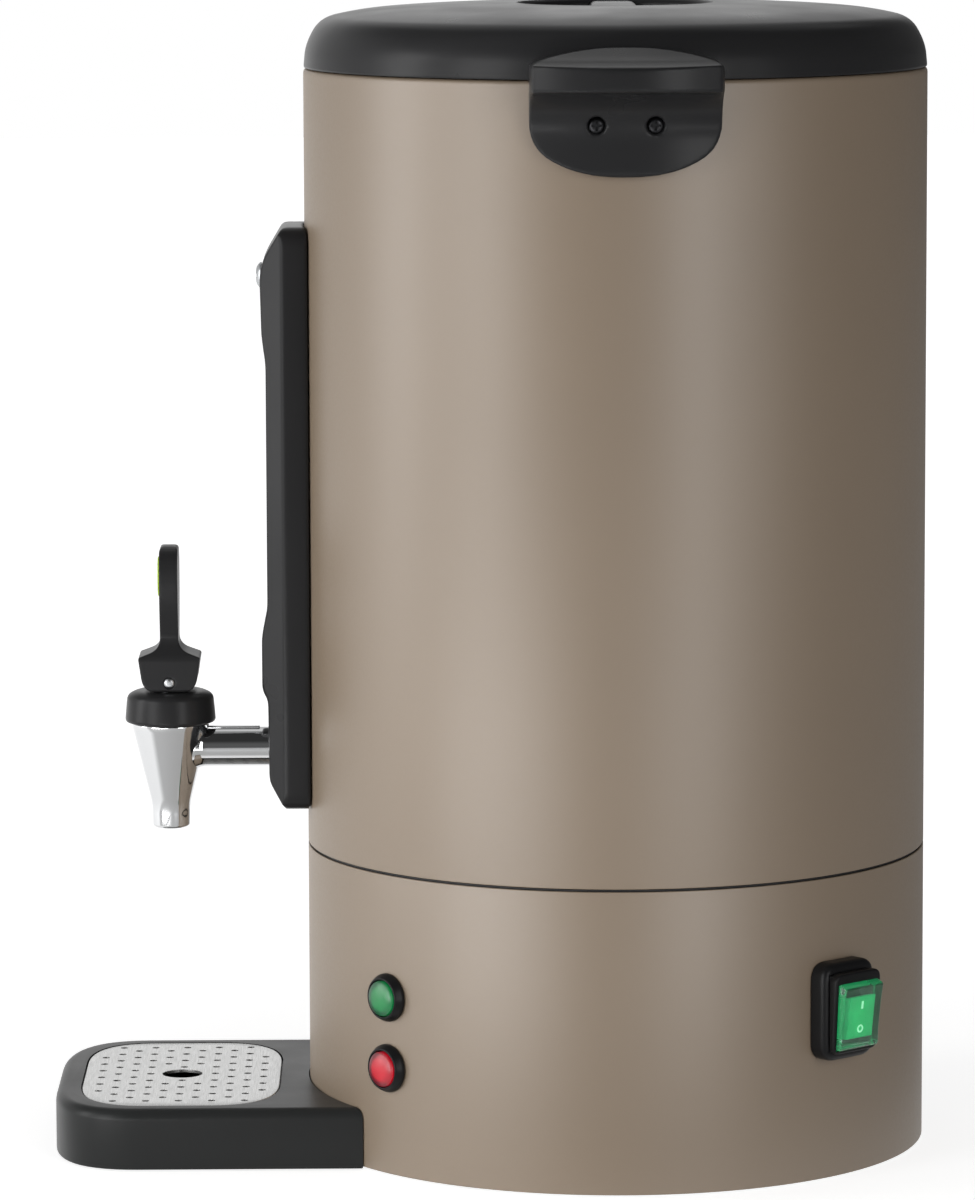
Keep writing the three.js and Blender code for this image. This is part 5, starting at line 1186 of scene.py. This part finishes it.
class PERCOLATOR_OT_studio(PercolatorStep, bpy.types.Operator):
    """Lay the pale floor, and set the soft lamps, the white surroundings and the camera"""
    bl_idname = "percolator.studio"
    bl_label = "Studio"

    def model(self):
        scene = bpy.context.scene
        scene.view_settings.view_transform = "Standard"
        self.surroundings(scene)
        self.lay_floor()
        self.hang_lamps()
        self.set_camera(scene)

    def surroundings(self, scene):
        """White to the camera; a room with bright and dim walls to shiny pieces."""
        world = bpy.data.worlds.new("studio")
        scene.world = world
        world.use_nodes = True
        tree = world.node_tree
        tree.nodes.clear()
        white = node(tree, "ShaderNodeBackground", {"Color": (1, 1, 1, 1), "Strength": 1.0})
        # Shiny pieces see white paper behind and to the left, and a dim room to the right
        place = node(tree, "ShaderNodeTexCoord").outputs["Generated"]
        parts = node(tree, "ShaderNodeSeparateXYZ", {"Vector": place}).outputs
        turn = node(tree, "ShaderNodeMath", {0: parts["Y"], 1: parts["X"]}, operation="ARCTAN2").outputs[0]
        room = node(tree, "ShaderNodeValToRGB", {"Fac": spread(tree, turn, -math.pi, math.pi, 0.0, 1.0)})
        for degrees, level in ((-180, 1.0), (-140, 0.7), (-94, 0.9), (-84, 1.6), (-48, 1.6), (-38, 0.5),
                               (-15, 0.12), (75, 0.1), (165, 0.1), (178, 1.0)):
            spot = (degrees + 180) / 360
            stop = room.color_ramp.elements[0] if spot == 0 else room.color_ramp.elements.new(spot)
            stop.color = (level, level, level, 1)
        last = room.color_ramp.elements[-1]
        last.color = (1, 1, 1, 1)
        # The ceiling is dark, which draws the black band along the lid's shoulder
        walls = node(tree, "ShaderNodeBackground", {
            "Color": room.outputs["Color"], "Strength": spread(tree, parts["Z"], 0.34, 0.62, 1.0, 0.32)})
        dark = node(tree, "ShaderNodeBackground", {"Color": (1, 1, 1, 1), "Strength": 0.13})
        glossy, seen = rays(tree)
        indirect = node(tree, "ShaderNodeMixShader", {0: glossy, 1: dark.outputs[0], 2: walls.outputs[0]})
        both = node(tree, "ShaderNodeMixShader", {0: seen, 1: indirect.outputs[0], 2: white.outputs[0]})
        node(tree, "ShaderNodeOutputWorld", {"Surface": both.outputs[0]})

    def lay_floor(self):
        """Pale paper that is white to the camera, and dimmer where shiny pieces see it."""
        bpy.ops.object.select_all(action="DESELECT")
        bpy.ops.mesh.primitive_plane_add(size=14, location=(0, 0, 0))
        floor = bpy.context.object
        floor.name = "studio_floor"
        paper = Finish("pale_studio_floor", {"Base Color": linear("cacaca"), "Roughness": 0.9})
        tree = paper.tree
        # The lamps light the floor near the machine; farther off its own white takes over
        away = node(tree, "ShaderNodeVectorMath", {0: paper.place}, operation="LENGTH").outputs["Value"]
        glow = node(tree, "ShaderNodeEmission", {
            "Color": (1, 1, 1, 1), "Strength": spread(tree, away, 0.15, 0.9, 0.76, 1.0)})
        lit = node(tree, "ShaderNodeAddShader", {0: paper.shader.outputs["BSDF"], 1: glow.outputs[0]})
        # Shiny pieces see the paper dimmer in front of the machine and to the right of it
        spot = node(tree, "ShaderNodeSeparateXYZ", {"Vector": paper.place}).outputs
        share, seen = rays(tree)
        for line, start, end, least in (("X", 0.11, 0.17, 0.3), ("Y", 0.12, 0.3, 0.2)):
            edge = spread(tree, spot[line], start, end, 1.0, least)
            share = node(tree, "ShaderNodeMath", {0: share, 1: edge}, operation="MULTIPLY").outputs[0]
        shown = node(tree, "ShaderNodeMath", {0: seen, 1: share}, operation="MAXIMUM")
        choice = node(tree, "ShaderNodeMixShader", {
            0: shown.outputs[0], 1: paper.shader.outputs["BSDF"], 2: lit.outputs[0]})
        tree.links.new(choice.outputs[0], paper.output.inputs["Surface"])
        floor.data.materials.append(paper.material)

    def hang_lamps(self):
        """Soft lamps round the machine: name, turn, distance and height from its middle, shape, power."""
        middle = Vector((AXIS.x, AXIS.y, 0.24))
        tall, low = 1.5, 0.06
        for name, turn, away, rise, shape, power in (
                ("left_softbox", -48, 1.6, 0.12, (0.6, tall), 9.8),
                ("far_left_softbox", -84, 1.6, 0.12, (0.5, tall), 9.5),
                ("right_softbox", 27, 1.6, 0.12, (0.42, tall), 8.4),
                ("far_right_softbox", 48, 1.6, 0.12, (0.3, tall), 2),
                ("low_left_softbox", -42, 0.62, -0.2, (0.5, low), 0.8),
                ("low_right_softbox", 22, 0.62, -0.2, (0.3, low), 0.25)):
            angle = math.radians(turn)
            place = middle + Vector((math.cos(angle) * away, math.sin(angle) * away, rise))
            self.lamp(name, place, middle, shape, power)
        self.lamp("back_softbox", middle + Vector((-0.9, 0.1, 1.4)), middle, (1.6, 1.0), 2)

    def lamp(self, name, place, target, shape, power):
        """A rectangular lamp that faces its target."""
        data = bpy.data.lights.new(name, "AREA")
        data.shape = "RECTANGLE"
        data.size, data.size_y = shape
        data.energy = power
        lamp = bpy.data.objects.new(name, data)
        bpy.context.scene.collection.objects.link(lamp)
        lamp.location = place
        lamp.rotation_euler = (target - place).to_track_quat("-Z", "Y").to_euler()

    def set_camera(self, scene):
        """Set the camera where it stood in the photograph, as fitted to the machine's round edges."""
        place = AXIS + Vector((2.45517, -0.0793, 0.53505))
        # Radians: the heading from the front, how far the camera looks down, and its roll
        heading, lean, roll = 1.559108, 0.13045, -0.00339
        bpy.ops.object.camera_add(location=place)
        camera = bpy.context.object
        camera.name = "photo_camera"
        camera.matrix_world = (
            Matrix.Translation(place) @ Matrix.Rotation(heading, 4, "Z")
            @ Matrix.Rotation(math.pi / 2 - lean, 4, "X") @ Matrix.Rotation(roll, 4, "Z"))
        camera.data.lens = 187.88
        camera.data.sensor_width = 36
        scene.camera = camera


def rays(tree):
    """Whether a ray is a shiny piece's, and whether it is the camera's own, straight or through glass."""
    path = node(tree, "ShaderNodeLightPath").outputs
    seen = node(tree, "ShaderNodeMath", {
        0: path["Is Camera Ray"], 1: path["Is Transmission Ray"]}, operation="MAXIMUM")
    return path["Is Glossy Ray"], seen.outputs[0]


STEPS = (
    PERCOLATOR_OT_studio, PERCOLATOR_OT_shells, PERCOLATOR_OT_underside, PERCOLATOR_OT_lid, PERCOLATOR_OT_handles,
    PERCOLATOR_OT_gauge, PERCOLATOR_OT_tap, PERCOLATOR_OT_lever, PERCOLATOR_OT_tray, PERCOLATOR_OT_grid,
    PERCOLATOR_OT_lamps, PERCOLATOR_OT_switch, PERCOLATOR_OT_inlet, PERCOLATOR_OT_tank,
    PERCOLATOR_OT_percolating_parts, PERCOLATOR_OT_heating,
)


class PERCOLATOR_PT_panel(bpy.types.Panel):
    """Lists the steps of the model, with its sizes and colours"""
    bl_idname = "PERCOLATOR_PT_panel"
    bl_label = "Percolator"
    bl_space_type = "VIEW_3D"
    bl_region_type = "UI"
    bl_category = "Percolator"

    def draw(self, context):
        for settings in (context.scene.percolator_sizes, context.scene.percolator_colours):
            for name in settings.__annotations__:
                self.layout.prop(settings, name)
        for step in STEPS:
            self.layout.operator(step.bl_idname)


CLASSES = (PercolatorSizes, PercolatorColours, *STEPS, PERCOLATOR_PT_panel)


def register():
    for cls in CLASSES:
        bpy.utils.register_class(cls)
    bpy.types.Scene.percolator_sizes = bpy.props.PointerProperty(type=PercolatorSizes)
    bpy.types.Scene.percolator_colours = bpy.props.PointerProperty(type=PercolatorColours)


def unregister():
    del bpy.types.Scene.percolator_colours
    del bpy.types.Scene.percolator_sizes
    for cls in reversed(CLASSES):
        bpy.utils.unregister_class(cls)


def main():
    register()
    make_finishes()
    for step in STEPS:
        group, name = step.bl_idname.split(".")
        getattr(getattr(bpy.ops, group), name)()


if __name__ == "__main__":
    main()
